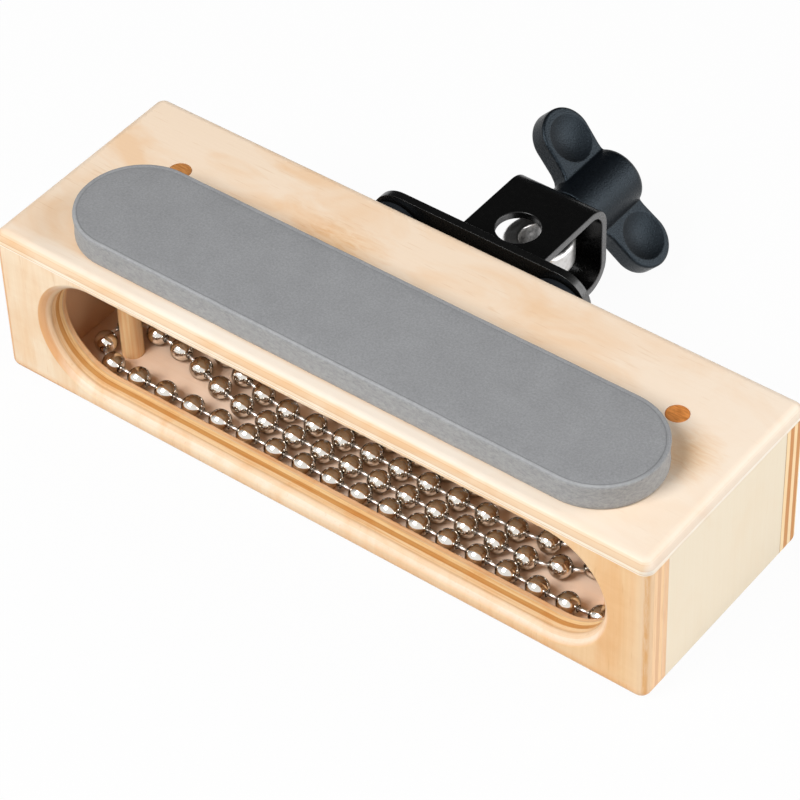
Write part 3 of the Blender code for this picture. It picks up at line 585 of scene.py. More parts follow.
def plywood(name, axis, face, inward, plies, grain, figure=0.5, lines=0.3, dashes=0.1,
            cloud_size=(13.0, 48.0), trim=None):
    """Birch plywood as a solid: its plies lie across one axis, so cut edges show them as bands."""
    material, tree, shader = new_finish(name, plies[0][1], 0.42, **SATIN_LACQUER)
    place = object_place(tree)
    at = coordinates(tree, place)
    total = sum(thickness for thickness, _ in plies)
    waver = ranged(tree, noise_value(tree, place, 45.0, 3.0), 0.3, 0.7, -PLY_WAVER, PLY_WAVER)
    depth = product(tree, sum_of(tree, at[axis], -face), inward * 1000.0 / total)
    share = sum_of(tree, depth, product(tree, waver, 1.0 / sqrt(total)))
    color = tones(tree, share, ply_stops(plies, total))
    fibres = fibre_noise(tree, place, grain, 22.0, 1300.0, 3.0, 0.62)
    cloud = fibre_noise(tree, place, grain, *cloud_size, 4.0, 0.55, 0.9)
    pores = fibre_noise(tree, place, grain, 110.0, 1500.0, 1.0, 0.5)
    patterns = ((fibres, lines, 0.25, (0.93, 0.89, 0.83), 0.7),
                (cloud, figure, 0.34, (0.95, 0.80, 0.64), 0.56),
                (pores, dashes, 0.25, (0.80, 0.66, 0.50), 0.33))
    for pattern, amount, dark_at, dark, clear_at in patterns:
        tint = tones(tree, pattern, [(dark_at, dark), (clear_at, grey(1.0))])
        color = tinted(tree, color, tint, amount)
    if trim:
        color = trim(tree, place, at, color)
    tree.links.new(color, shader.inputs["Base Color"])
    tree.links.new(ranged(tree, fibres, 0.3, 0.7, 0.50, 0.36), shader.inputs["Roughness"])
    roughen(tree, shader, fibres, 0.10, BUMP_HEIGHT)
    return material


def front_trim(tree, place, at, color):
    """Warm to the right and along the foot, streaked in the slot, amber on the slot's left rim, with a
    painted highlight along the top edge.
    """
    x, y, z = at["X"], at["Y"], at["Z"]
    streaks = stretched_noise(tree, place, (30.0, 1500.0, 130.0), 4.0, 0.65)
    streak_tint = tones(tree, streaks, [(0.36, (0.80, 0.60, 0.40)), (0.54, grey(1.0))])
    slot_wall = ranged(tree, y, -0.0335, -0.0315, 0.15, 0.62)
    color = tinted(tree, color, streak_tint, slot_wall)
    face = ranged(tree, y, -0.0348, -0.0342, 1.0, 0.0)
    end = ranged(tree, x, 0.0935, 0.0955, 0.0, 1.0)
    outside = ranged(tree, sum_of(tree, face, end), 0.0, 1.0, 0.0, 1.0)
    warm = product(tree, outside, ranged(tree, x, 0.0, 0.095, 0.1, 1.0))
    color = tinted(tree, color, (0.96, 0.79, 0.585, 1.0), warm)
    foot = ranged(tree, z, 0.0025, 0.0042, 0.9, 0.0)
    color = tinted(tree, color, (0.94, 0.80, 0.65, 1.0), foot)
    rim = band(tree, y, (-0.03497, -0.03488), (-0.0338, -0.0334))
    left_rim = product(tree, rim, ranged(tree, x, -0.087, -0.081, 1.0, 0.0))
    color = tinted(tree, color, (0.87, 0.63, 0.41, 1.0), left_rim)
    right_edge = ranged(tree, x, 0.099, 0.1035, 0.0, 0.45)
    color = blended(tree, right_edge, color, (0.93, 0.72, 0.50, 1.0))
    wear = stretched_noise(tree, place, (900.0, 900.0, 140.0), 4.0, 0.7)
    corner = band(tree, x, (0.1034, 0.1039), (0.1044, 0.1048))
    worn_corner = product(tree, corner, ranged(tree, wear, 0.38, 0.58, 0.3, 1.0))
    color = tinted(tree, color, (0.92, 0.71, 0.45, 1.0), worn_corner)
    # Painted highlight: a pale line along the top edge stands in for the light that its arris catches.
    painted_arris_highlight = ranged(tree, z, 0.04462, 0.04485, 0.0, 0.8)
    return blended(tree, painted_arris_highlight, color, (1.0, 0.94, 0.85, 1.0))


def top_trim(tree, place, at, color):
    """Curly patches of darker wood with the pad's shadow painted into them, a painted strip of light along
    the front, an amber left edge and a painted highlight along the right edge.
    """
    x, y = at["X"], at["Y"]
    on_top = ranged(tree, at["Z"], 0.0482, 0.0487, 0.0, 1.0)
    clear = product(tree, on_top, ranged(tree, x, 0.03, 0.10, 0.0, 0.6))
    color = blended(tree, clear, color, (0.96, 0.83, 0.69, 1.0))
    curl = stretched_noise(tree, place, (150.0, 520.0, 520.0), 4.0, 0.6, 1.2)
    curl_and_shadow_tint = tones(tree, curl, [(0.35, (0.90, 0.71, 0.51)), (0.65, (0.975, 0.86, 0.72))])
    # Each patch darkens curly wood and also paints in the pad's shadow.
    for patch_x, patch_y, squeeze in CURLY_AND_SHADOW_PATCHES:
        patch = (patch_x * squeeze, patch_y, BOX_HIGH.z)
        ends = {0: stretched(tree, place, (squeeze, 1.0, 1.0)), 1: patch}
        away = add_node(tree, "ShaderNodeVectorMath", ends, operation="DISTANCE").outputs["Value"]
        ragged = sum_of(tree, away, product(tree, curl, 0.006))
        color = tinted(tree, color, curl_and_shadow_tint, ranged(tree, ragged, 0.005, 0.014, 1.0, 0.0))
    # Painted light: the front of the top is made paler, standing in for the light and sheen that fall there
    # beside the pad.
    front = ranged(tree, y, -0.0305, -0.0285, 0.8, 0.0)
    strip = product(tree, front, ranged(tree, x, -0.095, -0.04, 0.3, 1.0))
    strip = product(tree, strip, on_top)
    strip = product(tree, strip, ranged(tree, x, 0.045, 0.085, 1.0, 0.15))
    color = blended(tree, strip, color, (0.97, 0.88, 0.77, 1.0))
    left_edge = ranged(tree, x, -0.1045, -0.1035, 0.7, 0.0)
    color = tinted(tree, color, (0.93, 0.74, 0.52, 1.0), left_edge)
    # Painted highlight: the right edge turns pale where the light catches its rounding.
    right_edge = ranged(tree, x, 0.1030, 0.1044, 0.0, 0.45)
    return blended(tree, right_edge, color, (0.99, 0.93, 0.86, 1.0))


def dowel_finish():
    """Hardwood rod, pale along its side and dark orange on its polished ends."""
    material, tree, shader = new_finish("dowel_wood", (0.62, 0.36, 0.17), 0.45, coat_weight=0.15)
    place = object_place(tree)
    at = coordinates(tree, place)
    fibres = stretched_noise(tree, place, (1500.0, 1500.0, 30.0), 3.0, 0.6)
    side = tones(tree, fibres, [(0.25, (0.92, 0.50, 0.22)), (0.7, (1.0, 0.70, 0.37))])
    rays = stretched_noise(tree, place, (450.0, 1900.0, 200.0), 3.0, 0.6)
    ends = tones(tree, rays, [(0.28, (0.48, 0.15, 0.026)), (0.68, (0.84, 0.32, 0.075))])
    ends = tinted(tree, ends, (0.74, 0.84, 1.0, 1.0), ranged(tree, at["X"], -0.02, 0.02, 1.0, 0.0))
    near_end = ranged(tree, at["Z"], 0.0462, 0.0468, 0.0, 1.0)
    tree.links.new(blended(tree, near_end, side, ends), shader.inputs["Base Color"])
    roughen(tree, shader, fibres, 0.12, BUMP_HEIGHT)
    return material


def foam_finish():
    """Closed-cell foam: fine grey cells, a paler rolled rim with a painted highlight at the front, painted
    shade in the dip inside the rim and streaky sides.
    """
    material, tree, shader = new_finish("grey_foam", (0.29, 0.295, 0.305), 0.88, sheen_weight=0.12)
    place = object_place(tree)
    at = coordinates(tree, place)
    cells = noise_value(tree, place, 1700.0, 3.0, 0.7)
    clouds = noise_value(tree, place, 110.0, 6.0, 0.62)
    streaks = stretched_noise(tree, place, (800.0, 800.0, 1500.0), 5.0, 0.75)
    skin = [(0.24, (0.215, 0.219, 0.227)), (0.5, (0.264, 0.268, 0.276)), (0.78, (0.315, 0.32, 0.328))]
    cut = [(0.28, (0.235, 0.237, 0.24)), (0.5, (0.318, 0.32, 0.322)), (0.74, (0.41, 0.41, 0.407))]
    cloud_tint = tones(tree, clouds, [(0.3, grey(0.91)), (0.7, grey(1.03))])
    color = tinted(tree, tones(tree, cells, skin), cloud_tint)
    color = blended(tree, attribute(tree, "side"), color, tones(tree, streaks, cut))
    # The rim is paler, and a painted highlight on it fades from the front towards the back.
    pale_rim_and_highlight = product(tree, attribute(tree, "rim"), streaks)
    pale_rim_and_highlight = product(tree, pale_rim_and_highlight, ranged(tree, at["Y"], -0.027, -0.014, 1.3, 0.1))
    color = blended(tree, pale_rim_and_highlight, color, (0.44, 0.445, 0.455, 1.0))
    left_half = ranged(tree, at["X"], -0.09, 0.0, 1.0, 0.0)
    color = tinted(tree, color, (*grey(0.93), 1.0), left_half)
    # Painted shade in the dip just inside the rim.
    crease = product(tree, attribute(tree, "crease"), 0.9)
    color = blended(tree, crease, color, (0.19, 0.193, 0.20, 1.0))
    tree.links.new(color, shader.inputs["Base Color"])
    roughen(tree, shader, sum_of(tree, cells, product(tree, clouds, 1.2)), 0.28, COARSE_BUMP_HEIGHT)
    return material


def metal_finish(name, color, roughness, spread=0.04, scale=400.0, bump=0.0):
    """Plated or machined metal whose gloss varies a little over the surface."""
    material, tree, shader = new_finish(name, color, roughness, 1.0)
    haze = noise_value(tree, object_place(tree), scale, 4.0, 0.6)
    gloss = ranged(tree, haze, 0.3, 0.7, roughness - spread, roughness + spread)
    tree.links.new(gloss, shader.inputs["Roughness"])
    shade = tones(tree, haze, [(0.25, tuple(0.86 * part for part in color)), (0.7, color)])
    tree.links.new(shade, shader.inputs["Base Color"])
    if bump:
        roughen(tree, shader, haze, bump, BUMP_HEIGHT)
    return material


def chain_finish():
    """Bright nickel balls whose holes are painted dark as shade, on drawn wire links, which are duller and
    paler.
    """
    dark_rim = (0.14, 0.12, 0.10, 1.0)
    material, tree, shader = new_finish("bright_nickel", NICKEL, 0.09, 1.0, specular_tint=dark_rim)
    haze = noise_value(tree, object_place(tree), 400.0, 4.0, 0.6)
    wire = attribute(tree, "wire")
    mouth = attribute(tree, "mouth")
    shade = tones(tree, haze, [(0.25, (0.70, 0.665, 0.61)), (0.7, NICKEL)])
    shade = blended(tree, wire, shade, (0.92, 0.90, 0.87, 1.0))
    # Painted shade: the collars where the links go in are dark, standing in for the shade in the balls'
    # holes.
    shade = blended(tree, mouth, shade, (0.05, 0.042, 0.035, 1.0))
    tree.links.new(shade, shader.inputs["Base Color"])
    duller = product(tree, sum_of(tree, wire, mouth), 0.22)
    gloss = sum_of(tree, ranged(tree, haze, 0.3, 0.7, 0.09, 0.14), duller)
    tree.links.new(gloss, shader.inputs["Roughness"])
    return material


def powder_coat(name, side_highlight, shine):
    """Gloss black powder coat with a faint orange peel; on faces that point along X, such as a sawn strip's
    edges, a painted grey highlight.
    """
    material, tree, shader = new_finish(name, grey(0.003), 0.24, specular_ior_level=shine)
    place = object_place(tree)
    peel = noise_value(tree, place, 900.0, 2.0)
    dust = noise_value(tree, place, 5200.0, 1.0)
    shade = tones(tree, dust, [(0.62, grey(0.0025)), (0.80, grey(0.006))])
    normal = add_node(tree, "ShaderNodeNewGeometry").outputs["Normal"]
    sideways = calculated(tree, "ABSOLUTE", coordinates(tree, normal)["X"])
    # Painted highlight: faces that point along X are made grey, as they catch the light from the right.
    thin = ranged(tree, sideways, 0.72, 0.90, 0.0, side_highlight)
    tree.links.new(blended(tree, thin, shade, (0.135, 0.135, 0.137, 1.0)), shader.inputs["Base Color"])
    tree.links.new(ranged(tree, peel, 0.3, 0.7, 0.20, 0.32), shader.inputs["Roughness"])
    roughen(tree, shader, peel, 0.06, COARSE_BUMP_HEIGHT)
    return material


def speckled_finish(name, dark, light, roughness, scale, bump, shine):
    """Rubber or moulded plastic with a fine matte texture."""
    look = {"specular_ior_level": shine, "specular_tint": COOL_SHINE}
    material, tree, shader = new_finish(name, dark, roughness, **look)
    place = object_place(tree)
    grains = noise_value(tree, place, scale, 3.0, 0.6)
    clouds = noise_value(tree, place, 160.0, 2.0)
    mottle = sum_of(tree, product(tree, grains, 0.6), product(tree, clouds, 0.4))
    color = tones(tree, mottle, [(0.35, dark), (0.7, light)])
    tree.links.new(color, shader.inputs["Base Color"])
    gloss = ranged(tree, grains, 0.3, 0.7, roughness - 0.06, roughness + 0.08)
    tree.links.new(gloss, shader.inputs["Roughness"])
    roughen(tree, shader, grains, bump, BUMP_HEIGHT)
    return material


def cast_finish():
    """Plated rough casting: pale grey, pitted, brighter on its high spots."""
    material, tree, shader = new_finish("cast_eye", (0.62, 0.59, 0.55), 0.28, 1.0)
    place = object_place(tree)
    pits = noise_value(tree, place, 950.0, 4.0, 0.65)
    stain = noise_value(tree, place, 260.0, 3.0, 0.6)
    greys = [(0.28, (0.60, 0.58, 0.56)), (0.48, (0.75, 0.745, 0.74)), (0.75, (0.84, 0.84, 0.84))]
    stain_tint = tones(tree, stain, [(0.3, (0.88, 0.86, 0.84)), (0.62, grey(1.0))])
    color = tinted(tree, tones(tree, pits, greys), stain_tint)
    tree.links.new(color, shader.inputs["Base Color"])
    tree.links.new(ranged(tree, pits, 0.3, 0.7, 0.42, 0.30), shader.inputs["Roughness"])
    roughen(tree, shader, pits, 0.15, BUMP_HEIGHT)
    return material


# Box

def rounded_block():
    mesh = block_mesh(BOX_LOW, BOX_HIGH)
    return round_edges(mesh, lambda edge: True, BOX_EDGE, 10)


def grown(node):
    """A panel's box, drawn out to the middle of its glue lines and past the outside of the box."""
    low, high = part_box(node)
    for axis in range(3):
        low[axis] -= BOX_EDGE if abs(low[axis] - BOX_LOW[axis]) < GLUE_LINE else GLUE_LINE / 2
        high[axis] += BOX_EDGE if abs(high[axis] - BOX_HIGH[axis]) < GLUE_LINE else GLUE_LINE / 2
    return block_mesh(low, high)


def dowel_cuts():
    cuts = []
    for x, y in DOWEL_PLACES:
        bar = round_bar(DOWEL_HOLE, 4 * (BOX_HIGH.z - BOX_LOW.z))
        cuts.append(("DIFFERENCE", moved(bar, Matrix.Translation((x, y, 0)))))
    return cuts


def screw_cuts(y):
    cuts = []
    for x in (-SCREW_ACROSS / 2, SCREW_ACROSS / 2):
        for z in (SCREW_MIDDLE - SCREW_UP / 2, SCREW_MIDDLE + SCREW_UP / 2):
            bar = moved(round_bar(SCREW_HOLE, BOX_EDGE * 10), Matrix.Translation((x, y, z)) @ ALONG_Y)
            cuts.append(("DIFFERENCE", bar))
    return cuts


def slot_rim(y):
    """A test for the slot's edge on the face of the front panel that lies at y."""
    reach_x = SLOT_LENGTH / 2 + PANEL_ARRIS
    reach_z = SLOT_HEIGHT / 2 + PANEL_ARRIS

    def is_rim(edge):
        middle = (edge.verts[0].co + edge.verts[1].co) / 2 - SLOT_MIDDLE
        on_face = all(abs(vert.co.y - y) < PANEL_ARRIS / 10 for vert in edge.verts)
        inside = abs(middle.x) < reach_x and abs(middle.z) < reach_z
        return on_face and inside and is_sharp(edge)
    return is_rim


def panel(node, finish, *cuts):
    """A plywood panel trimmed to the rounded outside of the box, with its other edges just broken."""
    mesh = carve(grown(node), ("INTERSECT", rounded_block()), *cuts)
    if node == "front_panel":
        mesh = round_edges(mesh, slot_rim(BOX_LOW.y), SLOT_RIM, 8, SLOT_RIM_FULLNESS)
        mesh = round_edges(mesh, slot_rim(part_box(node)[1].y + GLUE_LINE / 2), SLOT_INNER_RIM, 5)
    mesh = round_edges(mesh, is_sharp, PANEL_ARRIS, 2)
    add_piece(node + "_ply", even_shading(mesh), finish, "block", "birch_ply", node)


def make_box():
    slot = flat_plate(stadium(SLOT_LENGTH, SLOT_HEIGHT, 60), SLOT_CUT)
    slot.transform(Matrix.Translation(SLOT_MIDDLE) @ FACING_FRONT)
    front = plywood("front_birch", "Y", BOX_LOW.y, 1, FRONT_PLIES, "Z", 0.7, 0.5, 0.3,
                    (24.0, 90.0), front_trim)
    panel("front_panel", front, ("DIFFERENCE", slot))
    back = plywood("back_birch", "Y", BOX_HIGH.y, -1, BACK_PLIES, "Z")
    panel("back_panel", back, *screw_cuts(BOX_HIGH.y))
    for side, face, inward in (("left", BOX_LOW.x, 1), ("right", BOX_HIGH.x, -1)):
        end = plywood(side + "_birch", "X", face, inward, END_PLIES, "Z", 0.25, 0.15, 0.05, (18.0, 34.0))
        panel(side + "_end_panel", end)
    top = plywood("top_birch", "Z", BOX_HIGH.z, -1, TOP_PLIES, "X", 0.8, 0.25, 0.3,
                  (30.0, 62.0), top_trim)
    panel("top_plate", top, *dowel_cuts())
    floor = plywood("floor_birch", "Z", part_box("bottom_plate")[1].z, -1, FLOOR_PLIES, "X")
    panel("bottom_plate", floor, *dowel_cuts())


def make_dowels():
    half = (BOX_HIGH.z - BOX_LOW.z) / 2
    edge = DOWEL_EDGE
    profile = [(0, half)] + arc(DOWEL_RADIUS - edge, half - edge, edge, 90, 0, 3)
    profile += arc(DOWEL_RADIUS - edge, edge - half, edge, 0, -90, 3) + [(0, -half)]
    bm = bmesh.new()
    for x, y in DOWEL_PLACES:
        bm.from_mesh(moved(lathe(profile, 48), Matrix.Translation((x, y, half))))
    mesh = even_shading(closed_mesh(bm, "dowels"))
    nodes = [f"{row}_{side}_dowel" for row in ("front", "rear") for side in ("left", "right")]
    add_piece("chain_dowels", mesh, dowel_finish(), "block", "dowel_wood", *nodes)


def pad_ring(half, radius):
    """Points round the pad's rim: two half circles, half away from the middle, and the straight runs."""
    points = []
    for side in (1, -1):
        points += arc(side * half, 0, radius, side * 90 - 180, side * 90, PAD_ARC_STEPS)
        for run in range(1, PAD_RUN_STEPS):
            points.append((side * half * (1 - 2 * run / PAD_RUN_STEPS), side * radius))
    return points


def make_pad():
    """Die-cut foam: sides drawn in a little, a rolled upper edge and a faint dip just inside it."""
    low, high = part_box("strike_pad")
    middle = (low + high) / 2
    length, width, _ = high - low
    bm = bmesh.new()
    layers = {mark: bm.verts.layers.float.new(mark) for mark in PAD_MARKS}
    rings = []
    for place, (inset, height) in enumerate(PAD_PROFILE):
        z = height / 1000
        points = pad_ring((length - width) / 2, width / 2 - inset / 1000)
        rings.append([bm.verts.new(Vector((x, y, z)) + foam_wave(x, y, z)) for x, y in points])
        for mark, layer in layers.items():
            for vert in rings[-1]:
                vert[layer] = float(place in PAD_MARKS[mark])
    skinned(bm, rings)
    mesh = closed_mesh(bm, "pad")
    mesh.transform(Matrix.Translation((middle.x, middle.y, low.z)))
    pad = add_piece("foam_strike_pad", soft_shading(mesh), foam_finish(), "block", "grey_foam", "strike_pad")


def foam_wave(x, y, z):
    """The small unevenness of a foam surface, which never lifts it and leaves its underside flat."""
    place = Vector((x, y, z))
    wave = noise.noise_vector(place * 90) * 0.00006 + noise.noise_vector(place * 420) * 0.00004
    return Vector((wave.x, wave.y, min(wave.z, 0.0) if z > PAD_FOOT else 0.0))


# Geometry trees

def new_tree(name, **inputs):
    """A geometry tree whose named inputs are given as name=kind of socket."""
    tree = bpy.data.node_groups.new(name, "GeometryNodeTree")
    tree.interface.new_socket("Geometry", in_out="INPUT", socket_type="NodeSocketGeometry")
    for socket, kind in inputs.items():
        title = socket.replace("_", " ").title()
        tree.interface.new_socket(title, in_out="INPUT", socket_type="NodeSocket" + kind)
    tree.interface.new_socket("Geometry", in_out="OUTPUT", socket_type="NodeSocketGeometry")
    return tree, add_node(tree, "NodeGroupInput").outputs


def close_tree(tree, geometry, finish):
    real = add_node(tree, "GeometryNodeRealizeInstances", {"Geometry": geometry})
    coated = add_node(tree, "GeometryNodeSetMaterial", {"Geometry": real.outputs[0], "Material": finish})
    add_node(tree, "NodeGroupOutput", {"Geometry": coated.outputs[0]})
    return tree


def grow(tree, host_mesh, **values):
    """Run a geometry tree on a mesh and return what it makes as a plain mesh."""
    host = workpiece("host", host_mesh)
    modifier = host.modifiers.new(tree.name, "NODES")
    modifier.node_group = tree
    for item in tree.interface.items_tree:
        key = item.name.lower().replace(" ", "_")
        if item.in_out == "INPUT" and key in values:
            modifier[item.identifier] = values[key]
    mesh = made_mesh(host)
    host.modifiers.clear()
    clear_away(host)
    return mesh


def marked(tree, geometry, name):
    """The same geometry, with a face attribute by which its finish knows it."""
    sockets = {"Geometry": geometry, "Name": name, "Value": 1.0}
    store = add_node(tree, "GeometryNodeStoreNamedAttribute", sockets, data_type="FLOAT", domain="FACE")
    return store.outputs[0]


def smooth_shape(tree, kind, **sockets):
    shape = add_node(tree, kind, sockets).outputs[0]
    return add_node(tree, "GeometryNodeSetShadeSmooth", {"Geometry": shape}).outputs[0]


# Chains

def loop_curve(points):
    """Closely spaced points of a smooth curve through a loop's points, at the chain's height."""
    places = [Vector((x / 1000, y / 1000, CHAIN_HEIGHT)) for x, y in points]
    spans = [(end - start).length for start, end in zip(places, places[1:])]
    slopes = [(end - start) / span for start, end, span in zip(places, places[1:], spans)]
    headings = [slopes[0]]
    for before, after, span_before, span_after in zip(slopes, slopes[1:], spans, spans[1:]):
        headings.append((before * span_after + after * span_before) / (span_before + span_after))
    headings.append(slopes[-1])
    curve = [places[0]]
    for index, span in enumerate(spans):
        start, end = places[index], places[index + 1]
        leaving, arriving = headings[index] * span, headings[index + 1] * span
        for step in range(1, LOOP_STEPS + 1):
            t = step / LOOP_STEPS
            along = start * (2 * t ** 3 - 3 * t ** 2 + 1) + end * (3 * t ** 2 - 2 * t ** 3)
            curve.append(along + leaving * (t ** 3 - 2 * t ** 2 + t) + arriving * (t ** 3 - t ** 2))
    return curve


def ball_chain_tree():
    """Balls on every second station of a line and thin links on the others."""
    tree, given = new_tree("ball_chain", stations="Int", ball_radius="Float",
                           link_radius="Float", link_length="Float",
                           collar_radius="Float", collar_length="Float", metal="Material")
    line = add_node(tree, "GeometryNodeMeshToCurve", {"Mesh": given["Geometry"]}).outputs[0]
    evenly = {"Curve": line, "Count": given["Stations"]}
    stations = add_node(tree, "GeometryNodeResampleCurve", evenly).outputs[0]
    index = add_node(tree, "GeometryNodeInputIndex").outputs[0]
    odd = calculated(tree, "MODULO", index, 2.0)
    even = calculated(tree, "SUBTRACT", 1.0, odd)
    tangent = add_node(tree, "GeometryNodeInputTangent").outputs[0]
    heading = add_node(tree, "FunctionNodeAlignRotationToVector", {"Vector": tangent}, axis="Z").outputs[0]
    ball = smooth_shape(tree, "GeometryNodeMeshUVSphere", Segments=36, Rings=22, Radius=given["Ball Radius"])
    link = smooth_shape(tree, "GeometryNodeMeshCylinder", Vertices=16, Radius=given["Link Radius"],
                        Depth=given["Link Length"])
    collar_size = {"Vertices": 14, "Radius": given["Collar Radius"], "Depth": given["Collar Length"]}
    collar = add_node(tree, "GeometryNodeMeshCylinder", collar_size).outputs[0]
    bead = add_node(tree, "GeometryNodeJoinGeometry")
    # The collar is marked so that its finish paints it dark as shade in the ball's hole.
    for shape in (marked(tree, collar, "mouth"), ball):
        tree.links.new(shape, bead.inputs[0])
    strung = add_node(tree, "GeometryNodeJoinGeometry")
    for shape, chosen in ((bead.outputs[0], odd), (marked(tree, link, "wire"), even)):
        sockets = {"Points": stations, "Selection": chosen, "Instance": shape, "Rotation": heading}
        copies = add_node(tree, "GeometryNodeInstanceOnPoints", sockets)
        tree.links.new(copies.outputs[0], strung.inputs[0])
    return close_tree(tree, strung.outputs[0], given["Metal"])


def line_mesh(points):
    mesh = bpy.data.meshes.new("line")
    mesh.from_pydata(points, [(index, index + 1) for index in range(len(points) - 1)], [])
    return mesh


def make_chains(nickel):
    tree = ball_chain_tree()
    for name, points in (("front_chain", FRONT_LOOP), ("rear_chain", REAR_LOOP)):
        curve = loop_curve(points)
        length = sum((end - start).length for start, end in zip(curve, curve[1:]))
        balls = round(length / BALL_PITCH)
        link_length = length / balls - 2 * BALL_RADIUS + LINK_OVERLAP
        mesh = grow(tree, line_mesh(curve), stations=2 * balls + 1, ball_radius=BALL_RADIUS,
                    link_radius=LINK_RADIUS, link_length=link_length, collar_radius=MOUTH_RADIUS,
                    collar_length=2 * (BALL_RADIUS - MOUTH_SINK), metal=nickel)
        add_piece(name + "_balls", mesh, nickel, name, "nickel", name)
        make_connector(name, nickel)


def make_connector(chain, nickel):
    """A barrel with rolled ends and a waist, which takes the loop's last ball at each end."""
    low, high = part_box(chain + "_connector")
    half, radius, edge = (high.x - low.x) / 2, (high.z - low.z) / 2, BARREL_EDGE
    waist = radius - WAIST_DEPTH
    profile = [(0, half)] + arc(radius - edge, half - edge, edge, 90, 0, 6)
    profile += [(radius, WAIST_HALF), (waist, WAIST_FLOOR), (waist, -WAIST_FLOOR), (radius, -WAIST_HALF)]
    profile += arc(radius - edge, edge - half, edge, 0, -90, 6) + [(0, -half)]
    barrel = moved(lathe(profile, 36), Matrix.Translation((low + high) / 2) @ ALONG_X)
    add_piece(chain + "_barrel", even_shading(barrel), nickel, chain, "nickel", chain + "_connector")


# Bracket

def ring(outer, inner, low, high, edge, sides=64, bore_edge=None, steps=4):
    """A washer with rounded corners, about Z; the corners of its bore may be rounded less."""
    bore = bore_edge or edge
    profile = arc(outer - edge, high - edge, edge, 90, 0, steps)
    profile += arc(outer - edge, low + edge, edge, 0, -90, steps)
    profile += arc(inner + bore, low + bore, bore, -90, -180, 4)
    profile += arc(inner + bore, high - bore, bore, 180, 90, 4)
    return lathe(profile, sides, True)


def pan_head_screw(length, head_height, head_radius):
    """A domed screw with a cross recess; its seat is at zero and its shank runs down to the tip."""
    profile = [(0, head_height)]
    for turn in range(15, 91, 15):
        height = HEAD_RIM + (head_height - HEAD_RIM) * cos(radians(turn))
        profile.append((head_radius * sin(radians(turn)), height))
    profile += [(head_radius - HEAD_TAPER, 0), (SCREW_SHANK, 0), (SCREW_SHANK, SCREW_TIP - length)]
    profile += [(SCREW_SHANK - SCREW_TIP_TAPER, -length), (0, -length)]
    screw = lathe(profile, 40)
    recess_low = Vector((-RECESS_REACH, -RECESS_HALF, head_height - RECESS_DEPTH))
    recess_high = Vector((RECESS_REACH, RECESS_HALF, head_height + RECESS_ABOVE))
    for turn in (0, pi / 2):
        arm = moved(block_mesh(recess_low, recess_high), Matrix.Rotation(turn + pi / 5, 4, "Z"))
        screw = carve(screw, ("DIFFERENCE", arm))
    return round_edges(screw, is_sharp, FINE_EDGE, 2)


def hex_nut(width, thickness):
    """A nut whose corners are turned down on both faces."""
    corner = width / 2 / cos(pi / 6)
    prism = round_bar(corner, thickness, 6)
    half = thickness / 2
    face = width / 2 - NUT_FACE_INSET
    upper = [(0, half), (face, half), (corner, half - NUT_CHAMFER)]
    turned = lathe(upper + [(radius, -height) for radius, height in reversed(upper)], 60)
    hole = round_bar(SCREW_HOLE, thickness * 2, 40)
    nut = carve(prism, ("INTERSECT", turned), ("DIFFERENCE", hole))
    return round_edges(nut, is_sharp, FINE_EDGE, 2)


def corner_set_tree():
    """One copy of a fitting at each of the four screw places."""
    tree, given = new_tree("corner_set", fitting="Object", across="Float", up="Float", seat="Vector",
                           finish="Material")
    sockets = {"Size X": given["Across"], "Size Y": given["Up"], "Vertices X": 2, "Vertices Y": 2}
    grid = add_node(tree, "GeometryNodeMeshGrid", sockets).outputs[0]
    standing = {"Geometry": grid, "Translation": given["Seat"], "Rotation": (pi / 2, 0, 0)}
    upright = add_node(tree, "GeometryNodeTransform", standing).outputs[0]
    fitting = add_node(tree, "GeometryNodeObjectInfo", {"Object": given["Fitting"]}).outputs["Geometry"]
    copies = add_node(tree, "GeometryNodeInstanceOnPoints", {"Points": upright, "Instance": fitting})
    return close_tree(tree, copies.outputs[0], given["Finish"])


def make_corner_sets(zinc, rubber):
    tree = corner_set_tree()
    screw_low, screw_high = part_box("bracket_screw_upper_left")
    rubber_low, rubber_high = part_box("rubber_washer_upper_left")
    flat_low, flat_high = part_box("flat_washer_upper_left")
    nut_low, nut_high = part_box("bracket_nut_upper_left")
    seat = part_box("mount_plate")[1].y + HEAD_GAP
    screw = pan_head_screw(seat - screw_low.y, screw_high.y - seat, (screw_high.x - screw_low.x) / 2)
    foot = ring((rubber_high.x - rubber_low.x) / 2, SCREW_HOLE, 0, rubber_high.y - rubber_low.y, RUBBER_EDGE)
    flat = ring((flat_high.x - flat_low.x) / 2, SCREW_HOLE, 0, flat_high.y - flat_low.y, WASHER_EDGE, 48)
    nut = hex_nut(NUT_WIDTH, nut_high.y - nut_low.y)
    sets = (("bracket_screw", "screw_heads", screw, seat, zinc, "zinc_steel"),
            ("rubber_washer", "rubber_feet", foot, rubber_low.y, rubber, "black_rubber"),
            ("flat_washer", "inner_washers", flat, flat_low.y, zinc, "zinc_steel"),
            ("bracket_nut", "inner_nuts", nut, (nut_low.y + nut_high.y) / 2, zinc, "zinc_steel"))
    for node, name, mesh, y, finish, slot in sets:
        fitting = workpiece(name + "_fitting", even_shading(moved(mesh, ALONG_Y)))
        copies = grow(tree, bpy.data.meshes.new("host"), fitting=fitting, across=SCREW_ACROSS, up=SCREW_UP,
                      seat=(0.0, y, SCREW_MIDDLE), finish=finish)
        clear_away(fitting)
        nodes = [f"{node}_{row}_{side}" for row in ("upper", "lower") for side in ("left", "right")]
        add_piece(name, copies, finish, "block", slot, *nodes)


